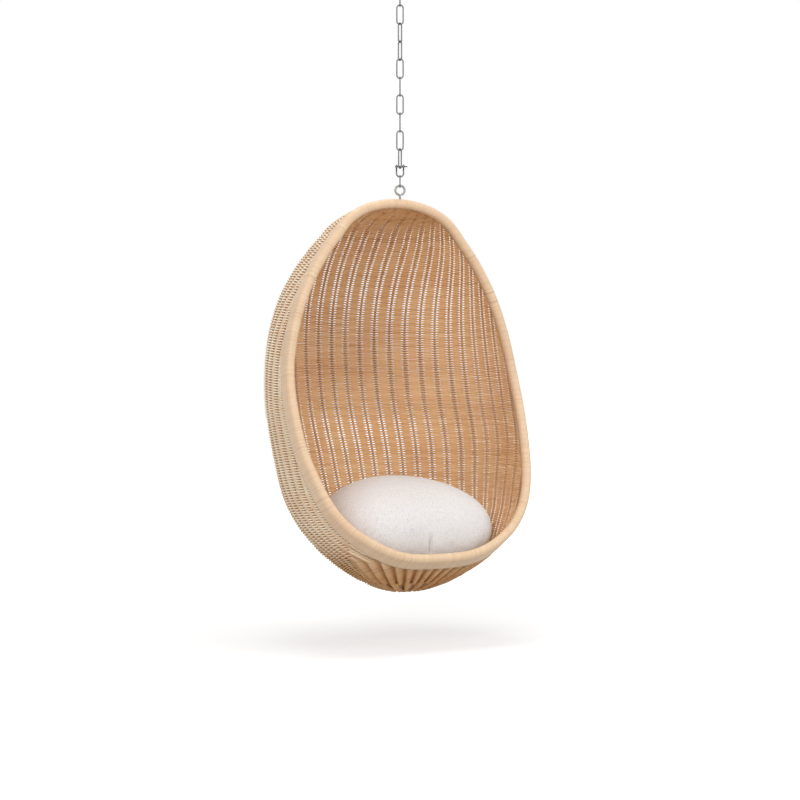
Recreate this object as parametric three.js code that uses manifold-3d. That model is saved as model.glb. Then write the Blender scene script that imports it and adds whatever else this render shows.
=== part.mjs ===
// A hanging pod chair: an egg of woven rattan on stakes, a bent steel rim bound with peel,
// a round seat cushion, and a steel chain from a ceiling plate.
// Millimetres, +Z up, origin at the middle of the ceiling plate's top face. The opening faces -Y.
import * as THREE from 'three';
import { mergeVertices } from 'three/addons/utils/BufferGeometryUtils.js';
import Module from 'manifold-3d';

const wasm = await Module();
wasm.setup();

// Fits
const CLEARANCE = 0.3;
const CUT_OVERRUN = 60;

// The woven shell, measured at the middle of its wall, with its lowest point as height zero
const SHELL_HEIGHT = 1250;
const SHELL_WIDTH = 850;
const SHELL_DEPTH = 750;
const LIP_REACH = 252;
const STAKE_COUNT = 36;
const STAKE_DIAMETER = 8;
const STAKE_FLAT = 7;
const WEAVE_THICKNESS = 3.3;
const KNOT_DEPTH = 96;
const KNOT_THICKNESS = 18;
const KNOT_DROP = 8;
const WEAVE_START_RADIUS = 100;

// The rim
const POLE_DIAMETER = 26;
const POLE_WALL = 3;
const WRAP_THICKNESS = 2;
const WRAP_LENGTH = 27;
const WRAP_SLOT = 5.4;

// The seat cushion
const CUSHION_CROWN_HEIGHT = 370;
const CUSHION_SET_BACK = 60;
const CUSHION_BACK_EDGE_HEIGHT = 215;
const CUSHION_SIDE_EDGE_HEIGHT = 188;
const CUSHION_FRONT_EDGE_HEIGHT = 132;
const CUSHION_UNDERSIDE_HEIGHT = 34;
const CUSHION_WALL_GAP = 3.6;
const CUSHION_SEAM_DEPTH = 8;

// Steel fittings
const LINK_WIRE = 4.5;
const LINK_WIDTH = 25;
const LINK_INSIDE_LENGTH = 58.7;
const EYE_WIRE = 7;
const EYE_DIAMETER = 37;
const EYE_NECK = 9.8;
const EYE_SHANK_DEPTH = 18;
const CONNECTOR_WIRE = 4;
const CONNECTOR_WIDTH = 20;
const CONNECTOR_INSIDE_LENGTH = 35.2;
const SHACKLE_WIRE = 5;
const SHACKLE_WIDTH = 28;
const SHACKLE_PIN_DIAMETER = 6;
const SHACKLE_LENGTH = 36;
const SHACKLE_EAR_DIAMETER = 13;
const SHACKLE_EAR_THICKNESS = 5;
const PIN_EYE_DIAMETER = 10;
const PIN_EYE_BORE = 4;
const PIN_EYE_THICKNESS = 3;
const PIN_TAIL = 2;
const LOOP_WIRE = 8;
const LOOP_WIDTH = 34;
const LOOP_DROP = 34;
const PLATE_DIAMETER = 80;
const PLATE_THICKNESS = 5;
const PLATE_CHAMFER = 1.5;
const PLATE_HOLE_DIAMETER = 6;
const PLATE_HOLE_CIRCLE = 58;
const PLATE_HOLE_COUNT = 3;

// The way that the chain's first link faces, turned from the chair's X axis
const HANG_TURN = -30;
// The way that each link faces, from the ceiling down, turned from the loop under the plate
const LINK_TURNS = [90, 0, 60, 120, 0, 90, 0, 90, 0, 65];

// Facets
const POLE_SIDES = 8;
const STAKE_SIDES = 5;
const WIRE_SIDES = 6;
const LINK_END_STEPS = 6;
const BEND_STEPS = 8;
const ROUND_SIDES = 12;
const RIM_STEPS = 52;
const RIM_SAMPLES = 900;
const OPENING_LEVELS = 28;
const RING_STEPS = 240;
const CUSHION_SPOKES = 36;

// The shell's form, as shares at these shares of its height
const STATION_SHARES = [0, 0.04, 0.1, 0.2, 0.32, 0.5, 0.75, 0.9, 1];
const WIDTH_SHARES = [0.94, 0.97, 1.03, 1.06, 1.03, 1.0, 0.975, 0.95, 1.14];
const DEPTH_SHARES = [0.9, 0.92, 0.96, 0.985, 0.99, 1.03, 1.13, 1.27, 1.82];
const CENTRE_SHARES = [-0.035, -0.043, -0.055, -0.055, -0.043, 0.02, 0.063, 0.043, 0];
// How far the opening's edge stands forward, as shares of LIP_REACH
const LIP_STATION_SHARES = [0.09, 0.13, 0.18, 0.27, 0.4, 0.6, 0.8, 1];
const LIP_SHARES = [1.0, 0.965, 0.853, 0.675, 0.397, 0.107, 0.036, 0];
// The squareness of the level sections, where 2 is an ellipse: low down, and from half the height up
const LOW_SQUARENESS = 3;
const HIGH_SQUARENESS = 2.2;
const SQUARENESS_END_SHARE = 0.5;
// The widest distance between stakes, as a share of the half ring at that height
const WIDEST_PITCH_SHARE = 0.0418;
// The distance between stakes, as shares of the widest
const PITCH_STATION_SHARES = [0.2, 0.45, 0.84, 0.9846, 0.9985];
const PITCH_SHARES = [0.9, 1.0, 0.98, 0.86, 0.25];
// The heights where the woven courses end, and the levels inside each
const COURSE_END_SHARES = [0.21, 0.46, 0.72, 0.9985];
// How much smaller the shell's last ring is drawn at its very top
const TIP_SHARE = 0.35;
const COURSE_LEVEL_SHARES = [
  [0, 0.1, 0.27, 0.5, 0.75, 1],
  [0, 0.33, 0.67, 1],
  [0, 0.33, 0.67, 1],
  [0, 0.33, 0.62, 0.83, 0.95, 1],
];
// The knot's profile from its underside up: shares of its reach and of its thickness
const KNOT_REACH_SHARES = [0.45, 0.8, 1, 1, 0.9];
const KNOT_RISE_SHARES = [0, 0.3, 0.6, 0.95, 1];
// The cushion's profile: where its underside and its crown have their points, as shares of its reach
const UNDERSIDE_SHARES = [0.28, 0.56, 0.82];
const CROWN_SHARES = [0.96, 0.88, 0.74, 0.54, 0.3];
// Past this share of the way from the back to the front, stakes above the lip crowd together
const CROWDING_SHARE = 0.9;
// How the binding bends round the pole: the shares of a half turn where its bend starts and ends
const BEND_START_SHARE = 0.33;
const BEND_END_SHARE = 1.67;

const WEAVE_COLOUR = 0xc89b6c;
const STAKE_COLOUR = 0xb98d5e;
const PEEL_COLOUR = 0xe6d0ab;
const FABRIC_COLOUR = 0xece8e2;
const STEEL_COLOUR = 0xb9bcbf;

// Monotone cubic through a table of stations and values
function smoothTable(stations, values) {
  const last = stations.length - 1;
  const slopes = [];
  for (let i = 0; i < last; i += 1) {
    slopes.push((values[i + 1] - values[i]) / (stations[i + 1] - stations[i]));
  }
  const tangents = values.map((value, i) => {
    if (i === 0) return slopes[0];
    if (i === last) return slopes[last - 1];
    if (slopes[i - 1] * slopes[i] <= 0) return 0;
    return 2 / (1 / slopes[i - 1] + 1 / slopes[i]);
  });
  return (x) => {
    const at = Math.min(Math.max(x, stations[0]), stations[last]);
    let i = 0;
    while (i < last - 1 && at > stations[i + 1]) i += 1;
    const step = stations[i + 1] - stations[i];
    const u = (at - stations[i]) / step;
    const rise = u * u * (3 - 2 * u);
    const lead = step * tangents[i] * u * (1 - u) * (1 - u);
    const tail = step * tangents[i + 1] * u * u * (u - 1);
    return values[i] * (1 - rise) + values[i + 1] * rise + lead + tail;
  };
}

const widthShare = smoothTable(STATION_SHARES, WIDTH_SHARES);
const depthShare = smoothTable(STATION_SHARES, DEPTH_SHARES);
const centreShare = smoothTable(STATION_SHARES, CENTRE_SHARES);
const lipShare = smoothTable(LIP_STATION_SHARES, LIP_SHARES);
const pitchShare = smoothTable(PITCH_STATION_SHARES, PITCH_SHARES);

// The level section of the shell's mid-wall surface at a height above its lowest point
function sectionAt(height) {
  const share = height / SHELL_HEIGHT;
  const swell = 2 * Math.sqrt(Math.max(share * (1 - share), 0));
  return {
    halfWidth: (SHELL_WIDTH / 2) * swell * widthShare(share),
    halfDepth: (SHELL_DEPTH / 2) * swell * depthShare(share),
    centre: SHELL_DEPTH * centreShare(share),
    power: THREE.MathUtils.lerp(
      LOW_SQUARENESS,
      HIGH_SQUARENESS,
      THREE.MathUtils.smoothstep(share, 0, SQUARENESS_END_SHARE),
    ),
  };
}

// Where the opening's edge lies along Y at a height
function lipForward(height) {
  return -LIP_REACH * lipShare(height / SHELL_HEIGHT);
}

function onSection(section, angle) {
  const bend = 2 / section.power;
  const sine = Math.sin(angle);
  const cosine = Math.cos(angle);
  const x = section.halfWidth * Math.sign(sine) * Math.abs(sine) ** bend;
  const y = section.centre + section.halfDepth * Math.sign(cosine) * Math.abs(cosine) ** bend;
  return [x, y];
}

const rings = new Map();

// A level ring with its arc length, counted from the middle of the back to the middle of the front
function ringAt(height) {
  if (rings.has(height)) return rings.get(height);
  const section = sectionAt(height);
  const points = [];
  const lengths = [0];
  for (let i = 0; i <= RING_STEPS; i += 1) {
    points.push(onSection(section, (Math.PI * i) / RING_STEPS));
    if (i === 0) continue;
    const step = Math.hypot(points[i][0] - points[i - 1][0], points[i][1] - points[i - 1][1]);
    lengths.push(lengths[i - 1] + step);
  }
  const ring = { points, lengths, half: lengths[RING_STEPS] };
  rings.set(height, ring);
  return ring;
}

function surfacePoint(arc, height) {
  const ring = ringAt(height);
  const length = Math.min(Math.abs(arc), ring.half);
  let low = 0;
  let high = RING_STEPS;
  while (high - low > 1) {
    const middle = (low + high) >> 1;
    if (ring.lengths[middle] <= length) low = middle;
    else high = middle;
  }
  const share = (length - ring.lengths[low]) / (ring.lengths[high] - ring.lengths[low]);
  const x = THREE.MathUtils.lerp(ring.points[low][0], ring.points[high][0], share);
  const y = THREE.MathUtils.lerp(ring.points[low][1], ring.points[high][1], share);
  return new THREE.Vector3(Math.sign(arc) * x, y, height);
}

// The outward normal of the mid-wall surface
function surfaceNormal(arc, height) {
  const reach = STAKE_DIAMETER;
  const rise = Math.min(STAKE_DIAMETER, height / 2, (SHELL_HEIGHT - height) / 2);
  const share = arc / ringAt(height).half;
  const along = surfacePoint(arc + reach, height).sub(surfacePoint(arc - reach, height));
  if (Math.abs(arc) + reach > ringAt(height).half) along.set(-1, 0, 0);
  const higher = surfacePoint(share * ringAt(height + rise).half, height + rise);
  const lower = surfacePoint(share * ringAt(height - rise).half, height - rise);
  return higher.sub(lower).cross(along).normalize();
}

function offsetPoint(arc, height, offset) {
  return surfacePoint(arc, height).addScaledVector(surfaceNormal(arc, height), offset);
}

// Finds where a rising test first holds between two values
function firstWhere(test, from, to) {
  let low = from;
  let high = to;
  while (Math.abs(high - low) > CLEARANCE / 1000) {
    const middle = (low + high) / 2;
    if (test(middle)) high = middle;
    else low = middle;
  }
  return high;
}

const lipIsBehindFront = (height) => {
  const section = sectionAt(height);
  return lipForward(height) > section.centre - section.halfDepth;
};
const LIP_BOTTOM = firstWhere(lipIsBehindFront, SHELL_HEIGHT * STATION_SHARES[1], SHELL_HEIGHT * STATION_SHARES[3]);
const STAKE_PITCH = WIDEST_PITCH_SHARE * ringAt(PITCH_STATION_SHARES[1] * SHELL_HEIGHT).half;
const FULL_RING_PITCH = (2 * ringAt(LIP_BOTTOM).half) / STAKE_COUNT;

// The distance between neighbouring stakes along the ring at a height
function stakePitchAt(height) {
  if (height <= LIP_BOTTOM) return (2 * ringAt(height).half) / STAKE_COUNT;
  const first = PITCH_STATION_SHARES[0] * SHELL_HEIGHT;
  const target = STAKE_PITCH * pitchShare(height / SHELL_HEIGHT);
  if (height >= first) return target;
  const share = (height - LIP_BOTTOM) / (first - LIP_BOTTOM);
  return THREE.MathUtils.lerp(FULL_RING_PITCH, STAKE_PITCH * PITCH_SHARES[0], share);
}

// Where a stake crosses a level. The stakes that would pass the front's middle crowd up before it,
// where the opening cuts them away
function stakeArc(index, height) {
  const half = ringAt(height).half;
  const arc = (index - (STAKE_COUNT - 1) / 2) * stakePitchAt(height);
  const free = height > LIP_BOTTOM ? half * CROWDING_SHARE : half;
  if (Math.abs(arc) <= free) return arc;
  const room = half - free;
  return Math.sign(arc) * (free + room * (1 - Math.exp((free - Math.abs(arc)) / room)) * CROWDING_SHARE);
}

// Turns a grid of points into one closed body. Both directions close on themselves,
// or the rows end in caps where open is set
function gridSolid(rows, open) {
  const count = rows.length;
  const width = rows[0].length;
  const vertices = rows.flat().flatMap((point) => [point.x, point.y, point.z]);
  const faces = [];
  const lastRow = open ? count - 1 : count;
  for (let i = 0; i < lastRow; i += 1) {
    for (let j = 0; j < width; j += 1) {
      const a = i * width + j;
      const b = i * width + ((j + 1) % width);
      const c = ((i + 1) % count) * width + j;
      const d = ((i + 1) % count) * width + ((j + 1) % width);
      faces.push([a, b, d], [a, d, c]);
    }
  }
  if (open) {
    for (let j = 1; j < width - 1; j += 1) {
      faces.push([0, j + 1, j], [(count - 1) * width, (count - 1) * width + j, (count - 1) * width + j + 1]);
    }
  }
  const geometry = new THREE.BufferGeometry();
  geometry.setAttribute('position', new THREE.Float32BufferAttribute(vertices, 3));
  geometry.setIndex(faces.flat());
  return facingOut(mergeVertices(geometry));
}

// Drops empty faces and turns the body's faces outward
function facingOut(geometry) {
  const position = geometry.getAttribute('position');
  const index = Array.from(geometry.index.array);
  const kept = [];
  let volume = 0;
  const a = new THREE.Vector3();
  const b = new THREE.Vector3();
  const c = new THREE.Vector3();
  for (let i = 0; i < index.length; i += 3) {
    const [p, q, r] = index.slice(i, i + 3);
    if (p === q || q === r || r === p) continue;
    a.fromBufferAttribute(position, p);
    b.fromBufferAttribute(position, q);
    c.fromBufferAttribute(position, r);
    volume += a.dot(b.cross(c));
    kept.push([p, q, r]);
  }
  geometry.setIndex(kept.map((face) => (volume > 0 ? face : [face[0], face[2], face[1]])).flat());
  return geometry;
}

// A geometry with places only, and with shared corners
function bareGeometry(geometry) {
  const bare = geometry.clone();
  bare.deleteAttribute('normal');
  bare.deleteAttribute('uv');
  return facingOut(mergeVertices(bare));
}

function toManifold(geometry) {
  const bare = bareGeometry(geometry);
  const mesh = new wasm.Mesh({
    numProp: 3,
    vertProperties: new Float32Array(bare.getAttribute('position').array),
    triVerts: new Uint32Array(bare.index.array),
  });
  return new wasm.Manifold(mesh);
}

function fromManifold(solid) {
  const mesh = solid.getMesh();
  const geometry = new THREE.BufferGeometry();
  geometry.setAttribute('position', new THREE.Float32BufferAttribute(mesh.vertProperties, 3));
  geometry.setIndex(Array.from(mesh.triVerts));
  return geometry;
}

const combine = (first, second) => fromManifold(toManifold(first).add(toManifold(second)));
const cutAway = (first, second) => fromManifold(toManifold(first).subtract(toManifold(second)));

// A round section with a corner outward
function circleOutline(radius, sides) {
  const outline = [];
  for (let i = 0; i < sides; i += 1) {
    const angle = (2 * Math.PI * i) / sides;
    outline.push([radius * Math.cos(angle), radius * Math.sin(angle)]);
  }
  return outline;
}

// The rim's centre line, in even steps round the opening, with the way into the wall and outward
function rimFrames() {
  const line = [];
  const samples = RIM_SAMPLES;
  for (let i = 0; i <= samples; i += 1) {
    const share = (1 - Math.cos((Math.PI * i) / samples)) / 2;
    const height = LIP_BOTTOM + (SHELL_HEIGHT - LIP_BOTTOM) * share;
    const section = sectionAt(height);
    const y = lipForward(height);
    const forward = i === 0 || i === samples ? 1 : Math.abs((y - section.centre) / section.halfDepth);
    const x = section.halfWidth * Math.max(1 - forward ** section.power, 0) ** (1 / section.power);
    line.push(new THREE.Vector3(x, y, height));
  }
  const lengths = [0];
  for (let i = 1; i < line.length; i += 1) lengths.push(lengths[i - 1] + line[i].distanceTo(line[i - 1]));
  const steps = RIM_STEPS / 2;
  const side = [];
  for (let k = 0; k <= steps; k += 1) {
    const target = (lengths[samples] * k) / steps;
    let i = 1;
    while (i < samples && lengths[i] < target) i += 1;
    const share = (target - lengths[i - 1]) / (lengths[i] - lengths[i - 1]);
    side.push(line[i - 1].clone().lerp(line[i], share));
  }
  side[0].x = 0;
  side[steps].x = 0;
  const mirrored = side.slice(1, steps).reverse().map((p) => new THREE.Vector3(-p.x, p.y, p.z));
  const centres = [...side, ...mirrored];
  const count = centres.length;
  return centres.map((centre, i) => {
    const along = centres[(i + 1) % count].clone().sub(centres[(i + count - 1) % count]).normalize();
    const height = Math.min(centre.z, SHELL_HEIGHT - STAKE_DIAMETER / 4);
    const section = sectionAt(height);
    const gradient = new THREE.Vector3(
      Math.sign(centre.x) * Math.abs(centre.x / section.halfWidth) ** (section.power - 1) / section.halfWidth,
      Math.sign(centre.y - section.centre)
        * Math.abs((centre.y - section.centre) / section.halfDepth) ** (section.power - 1) / section.halfDepth,
      0,
    );
    gradient.z = levelGradient(centre, height);
    const outward = gradient.addScaledVector(along, -gradient.dot(along)).normalize();
    if (i === steps) outward.set(0, 0, 1);
    const inward = new THREE.Vector3().crossVectors(along, outward).normalize();
    return { centre, outward, inward };
  });
}

// How fast the section's own measure falls with height at a fixed place
function levelGradient(point, height) {
  const measure = (level) => {
    const section = sectionAt(level);
    const wide = Math.abs(point.x / section.halfWidth) ** section.power;
    const deep = Math.abs((point.y - section.centre) / section.halfDepth) ** section.power;
    return wide + deep;
  };
  const rise = Math.min(STAKE_DIAMETER / 4, (SHELL_HEIGHT - height) / 2);
  return (measure(height + rise) - measure(height - rise)) / (2 * rise * sectionAt(height).power);
}

const RIM = rimFrames();

function sweepRim(outline) {
  return gridSolid(RIM.map((frame) => outline.map(([into, out]) => frame.centre.clone()
    .addScaledVector(frame.inward, into)
    .addScaledVector(frame.outward, out))));
}

const WRAP_INSIDE = POLE_DIAMETER / 2 + CLEARANCE;
const WRAP_OUTSIDE = WRAP_INSIDE + WRAP_THICKNESS;
const WRAP_STEPS = POLE_SIDES - 2;

// The bend round the pole at a radius, whose flats lie at that radius
function wrapBend(radius) {
  const turn = (Math.PI * (BEND_END_SHARE - BEND_START_SHARE)) / WRAP_STEPS;
  const reach = radius / Math.cos(turn / 2);
  const points = [];
  for (let i = 0; i <= WRAP_STEPS; i += 1) {
    const angle = Math.PI * BEND_START_SHARE + turn * i;
    points.push([reach * Math.cos(angle), reach * Math.sin(angle)]);
  }
  return points;
}

// The binding's outer side, from the wall round the front of the pole and back to the wall
function wrapOutside(grow) {
  const flank = WRAP_SLOT + WRAP_THICKNESS + grow;
  const end = WRAP_LENGTH + grow;
  return [[end, flank], ...wrapBend(WRAP_OUTSIDE + grow), [end, -flank]];
}

// The binding as a sheet bent round the pole, open along the wall
function wrapOutline(grow) {
  const end = WRAP_LENGTH + grow;
  const half = WRAP_SLOT - grow;
  return [...wrapOutside(grow), ...[[end, half], ...wrapBend(WRAP_INSIDE - grow), [end, -half]].reverse()];
}

// All that lies before the opening's edge, joined with a sweep along the rim
function openingCutter(outline) {
  const profile = [];
  for (let i = 0; i <= OPENING_LEVELS; i += 1) {
    const height = LIP_BOTTOM + ((SHELL_HEIGHT - LIP_BOTTOM) * i) / OPENING_LEVELS;
    profile.push([lipForward(height), height]);
  }
  profile.push([0, SHELL_HEIGHT + CUT_OVERRUN]);
  profile.push([-SHELL_DEPTH - CUT_OVERRUN, SHELL_HEIGHT + CUT_OVERRUN]);
  profile.push([-SHELL_DEPTH - CUT_OVERRUN, LIP_BOTTOM]);
  const half = SHELL_WIDTH / 2 + CUT_OVERRUN;
  return toManifold(prismAcross(profile, half)).add(toManifold(sweepRim(outline)));
}

// A prism of a side outline, reaching as far to the left as to the right
function prismAcross(profile, half) {
  const outline = new THREE.Shape(profile.map(([y, z]) => new THREE.Vector2(y, z)));
  const prism = new THREE.ExtrudeGeometry(outline, { depth: 2 * half, bevelEnabled: false });
  prism.applyMatrix4(new THREE.Matrix4().makeBasis(
    new THREE.Vector3(0, 1, 0),
    new THREE.Vector3(0, 0, 1),
    new THREE.Vector3(1, 0, 0),
  ));
  prism.translate(-half, 0, 0);
  return bareGeometry(prism);
}

const STAKE_RADIUS = STAKE_DIAMETER / 2;
const WEAVE_OFFSET = STAKE_RADIUS + 2 * CLEARANCE + WEAVE_THICKNESS / 2;
const WALL_INSIDE = WEAVE_OFFSET + WEAVE_THICKNESS / 2;
const BEFORE_POLE = openingCutter(circleOutline(POLE_DIAMETER / 2 + 2 * CLEARANCE, POLE_SIDES))
  .add(toManifold(sweepRim(wrapOutline(CLEARANCE))));
const BEFORE_WRAP = openingCutter([
  [WRAP_LENGTH + CLEARANCE, WALL_INSIDE + STAKE_RADIUS],
  ...wrapBend(WRAP_OUTSIDE + CLEARANCE),
  [WRAP_LENGTH + CLEARANCE, -WALL_INSIDE - STAKE_RADIUS],
]);
const isWideEnough = (height) => sectionAt(height).halfWidth > WEAVE_START_RADIUS;
const clearsKnot = (height) => sectionAt(height).halfDepth > KNOT_DEPTH / 2 + CLEARANCE;
const WEAVE_START = firstWhere(isWideEnough, CLEARANCE, LIP_BOTTOM);
const STAKE_START = firstWhere(clearsKnot, CLEARANCE, LIP_BOTTOM);

// What is left of a solid once the opening is cut
function trimmed(geometry, opening) {
  const pieces = toManifold(geometry).subtract(opening).decompose();
  const largest = pieces.reduce((best, piece) => (piece.volume() > best.volume() ? piece : best));
  return fromManifold(largest);
}

// The heights of a course's levels
function courseLevels(course) {
  const from = course === 0 ? WEAVE_START : COURSE_END_SHARES[course - 1] * SHELL_HEIGHT;
  const to = COURSE_END_SHARES[course] * SHELL_HEIGHT;
  return COURSE_LEVEL_SHARES[course].map((share) => THREE.MathUtils.lerp(from, to, share));
}

const STAKE_LEVELS = [STAKE_START, ...COURSE_END_SHARES.flatMap((_, course) => courseLevels(course))]
  .filter((height, i, all) => i === 0 || height > all[i - 1] + CLEARANCE);
const TOP_LEVEL = STAKE_LEVELS[STAKE_LEVELS.length - 1];

// The shell's last ring, drawn smaller at its very top, where the wall lies flat
function tipPoint(arc, offset) {
  const point = surfacePoint(arc, TOP_LEVEL);
  return new THREE.Vector3(point.x * TIP_SHARE, point.y * TIP_SHARE, SHELL_HEIGHT + offset);
}

// A course of weaving: it passes outside one stake and inside the next, and the course above the reverse
function weaveCourse(course) {
  const levels = courseLevels(course);
  const last = levels.length - 1;
  const trims = levels.map((_, i) => {
    if (i === last) return -CLEARANCE / 2;
    return i === 0 && course > 0 ? CLEARANCE / 2 : 0;
  });
  if (levels[last] === TOP_LEVEL) trims[last] = 0;
  const rows = [];
  for (let index = 0; index < STAKE_COUNT; index += 1) {
    const side = (index + course) % 2 === 0 ? 1 : -1;
    for (const edge of [-1, 1]) {
      const arcs = levels.map((height) => stakeArc(index, height)
        + (edge * Math.min(STAKE_FLAT, stakePitchAt(height) / 2)) / 2);
      const face = (offset) => {
        const points = levels.map((height, i) => offsetPoint(arcs[i], height + trims[i], offset));
        return levels[last] === TOP_LEVEL ? [...points, tipPoint(arcs[last], offset)] : points;
      };
      const middle = side * WEAVE_OFFSET;
      rows.push([...face(middle + WEAVE_THICKNESS / 2), ...face(middle - WEAVE_THICKNESS / 2).reverse()]);
    }
  }
  return trimmed(gridSolid(rows), BEFORE_WRAP);
}

// A stake from the knot at the bottom up the wall to the rim
function stake(index) {
  const outline = circleOutline(STAKE_RADIUS, STAKE_SIDES);
  const rows = [];
  for (const height of STAKE_LEVELS) {
    const arc = stakeArc(index, height);
    rows.push(outline.map(([out, side]) => offsetPoint(arc + side, height, out)));
    const past = surfacePoint(arc, height).y < lipForward(height) - STAKE_PITCH;
    if (height > LIP_BOTTOM && past) break;
    if (height === TOP_LEVEL) rows.push(outline.map(([out, side]) => tipPoint(arc + side, out)));
  }
  return trimmed(gridSolid(rows, true), BEFORE_POLE);
}

// Closes rows that run from a bottom point to a top point
function capSpokes(rows, bottom, top) {
  const count = rows.length;
  const width = rows[0].length;
  const points = [...rows.flat(), bottom, top];
  const bottomIndex = count * width;
  const topIndex = bottomIndex + 1;
  const faces = [];
  for (let i = 0; i < count; i += 1) {
    const next = (i + 1) % count;
    for (let j = 0; j < width - 1; j += 1) {
      const a = i * width + j;
      const b = next * width + j;
      faces.push([a, b, b + 1], [a, b + 1, a + 1]);
    }
    faces.push([bottomIndex, next * width, i * width]);
    faces.push([topIndex, i * width + width - 1, next * width + width - 1]);
  }
  const geometry = new THREE.BufferGeometry();
  geometry.setAttribute('position', new THREE.Float32BufferAttribute(points.flatMap((p) => p.toArray()), 3));
  geometry.setIndex(faces.flat());
  return facingOut(geometry);
}

// The knot at the lowest point that gathers the stake ends
function baseKnot() {
  const section = sectionAt(STAKE_START);
  const reach = (section.halfDepth - STAKE_RADIUS / 4) / section.halfDepth;
  const rows = [];
  for (let i = 0; i < STAKE_COUNT; i += 1) {
    const [x, y] = onSection(section, (2 * Math.PI * i) / STAKE_COUNT);
    rows.push(KNOT_REACH_SHARES.map((share, j) => new THREE.Vector3(
      x * share * reach,
      section.centre + (y - section.centre) * share * reach,
      KNOT_THICKNESS * KNOT_RISE_SHARES[j] - KNOT_DROP,
    )));
  }
  const bottom = new THREE.Vector3(0, section.centre, -KNOT_DROP);
  const top = new THREE.Vector3(0, section.centre, KNOT_THICKNESS - KNOT_DROP);
  return capSpokes(rows, bottom, top);
}

// How far the cushion can reach from its middle in a direction at a height
function cushionReach(angle, height) {
  const inset = WALL_INSIDE + CUSHION_WALL_GAP;
  const isBlocked = (radius) => {
    for (let i = 0; i <= BEND_STEPS; i += 1) {
      const tilt = (Math.PI * i) / (2 * BEND_STEPS);
      const far = radius + inset * Math.cos(tilt);
      const section = sectionAt(Math.max(height - inset * Math.sin(tilt), CLEARANCE));
      const wide = Math.abs(far * Math.sin(angle)) / section.halfWidth;
      const deep = Math.abs(CUSHION_SET_BACK + far * Math.cos(angle) - section.centre) / section.halfDepth;
      if (wide ** section.power + deep ** section.power > 1) return true;
    }
    const rimInside = lipForward(height) + WRAP_OUTSIDE + CUSHION_SEAM_DEPTH;
    return CUSHION_SET_BACK + radius * Math.cos(angle) < rimInside;
  };
  return firstWhere(isBlocked, 0, SHELL_WIDTH);
}

// The cushion: an underside that follows the bowl, a drawn-in seam round its edge and a high crown
function seatCushion() {
  const rows = [];
  for (let i = 0; i < CUSHION_SPOKES; i += 1) {
    const angle = (2 * Math.PI * i) / CUSHION_SPOKES;
    const endHeight = Math.cos(angle) > 0 ? CUSHION_BACK_EDGE_HEIGHT : CUSHION_FRONT_EDGE_HEIGHT;
    const edgeHeight = THREE.MathUtils.lerp(CUSHION_SIDE_EDGE_HEIGHT, endHeight, Math.abs(Math.cos(angle)) ** 3);
    const edge = cushionReach(angle, edgeHeight - 2 * CUSHION_SEAM_DEPTH);
    const place = (radius, height) => new THREE.Vector3(
      radius * Math.sin(angle),
      CUSHION_SET_BACK + radius * Math.cos(angle),
      height,
    );
    const row = UNDERSIDE_SHARES.map((share) => {
      const fall = Math.sqrt(1 - share ** 3);
      const height = THREE.MathUtils.lerp(edgeHeight, CUSHION_UNDERSIDE_HEIGHT + CUSHION_WALL_GAP, fall);
      return place(Math.min(edge * share, cushionReach(angle, height)), height);
    });
    row.push(place(edge, edgeHeight - 2 * CUSHION_SEAM_DEPTH));
    row.push(place(edge - CUSHION_SEAM_DEPTH, edgeHeight));
    row.push(place(edge, edgeHeight + 2 * CUSHION_SEAM_DEPTH));
    for (const share of CROWN_SHARES) {
      const rise = Math.sqrt(1 - share ** 2);
      const seamTop = edgeHeight + 2 * CUSHION_SEAM_DEPTH;
      row.push(place(edge * share, THREE.MathUtils.lerp(seamTop, CUSHION_CROWN_HEIGHT, rise)));
    }
    rows.push(row);
  }
  const bottom = new THREE.Vector3(0, CUSHION_SET_BACK, CUSHION_UNDERSIDE_HEIGHT);
  const top = new THREE.Vector3(0, CUSHION_SET_BACK, CUSHION_CROWN_HEIGHT);
  return capSpokes(rows, bottom, top);
}

// A stretch of wire along centres with the directions that its section opens in, beside Y
function bentWire(wire, stations, open) {
  const outline = circleOutline(wire / 2, WIRE_SIDES);
  return gridSolid(stations.map(({ centre, out }) => outline.map(([a, b]) => {
    const point = centre.clone().addScaledVector(out, a);
    point.y += b;
    return point;
  })), open);
}

// A half turn in the XZ plane from an angle, round a middle at a height
function halfTurn(bend, height, start, steps) {
  const stations = [];
  for (let i = 0; i <= steps; i += 1) {
    const angle = start + (Math.PI * i) / steps;
    const out = new THREE.Vector3(Math.cos(angle), 0, Math.sin(angle));
    const centre = out.clone().multiplyScalar(bend);
    centre.z += height;
    stations.push({ centre, out });
  }
  return stations;
}

// A closed wire link with straight sides and round ends, standing in the XZ plane
function ovalRing(wire, width, insideLength) {
  const bend = (width - wire) / 2;
  const straight = insideLength + wire - 2 * bend;
  return bentWire(wire, [
    ...halfTurn(bend, straight / 2, 0, LINK_END_STEPS),
    ...halfTurn(bend, -straight / 2, Math.PI, LINK_END_STEPS),
  ]);
}

// A wire bent like a U, with the ends of its legs at height zero
function bentBow(wire, width, drop) {
  const bend = (width - wire) / 2;
  const left = new THREE.Vector3(-1, 0, 0);
  const right = new THREE.Vector3(1, 0, 0);
  return bentWire(wire, [
    { centre: left.clone().multiplyScalar(bend), out: left },
    ...halfTurn(bend, bend + wire / 2 - drop, Math.PI, BEND_STEPS),
    { centre: right.clone().multiplyScalar(bend), out: right },
  ], true);
}

function rod(diameter, length) {
  return new THREE.CylinderGeometry(diameter / 2, diameter / 2, length, ROUND_SIDES);
}

// A cutter for a bore that a rod of a diameter fits with clearance
function boreCutter(diameter) {
  return rod((diameter + 2 * CLEARANCE) / Math.cos(Math.PI / ROUND_SIDES), CUT_OVERRUN);
}

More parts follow.
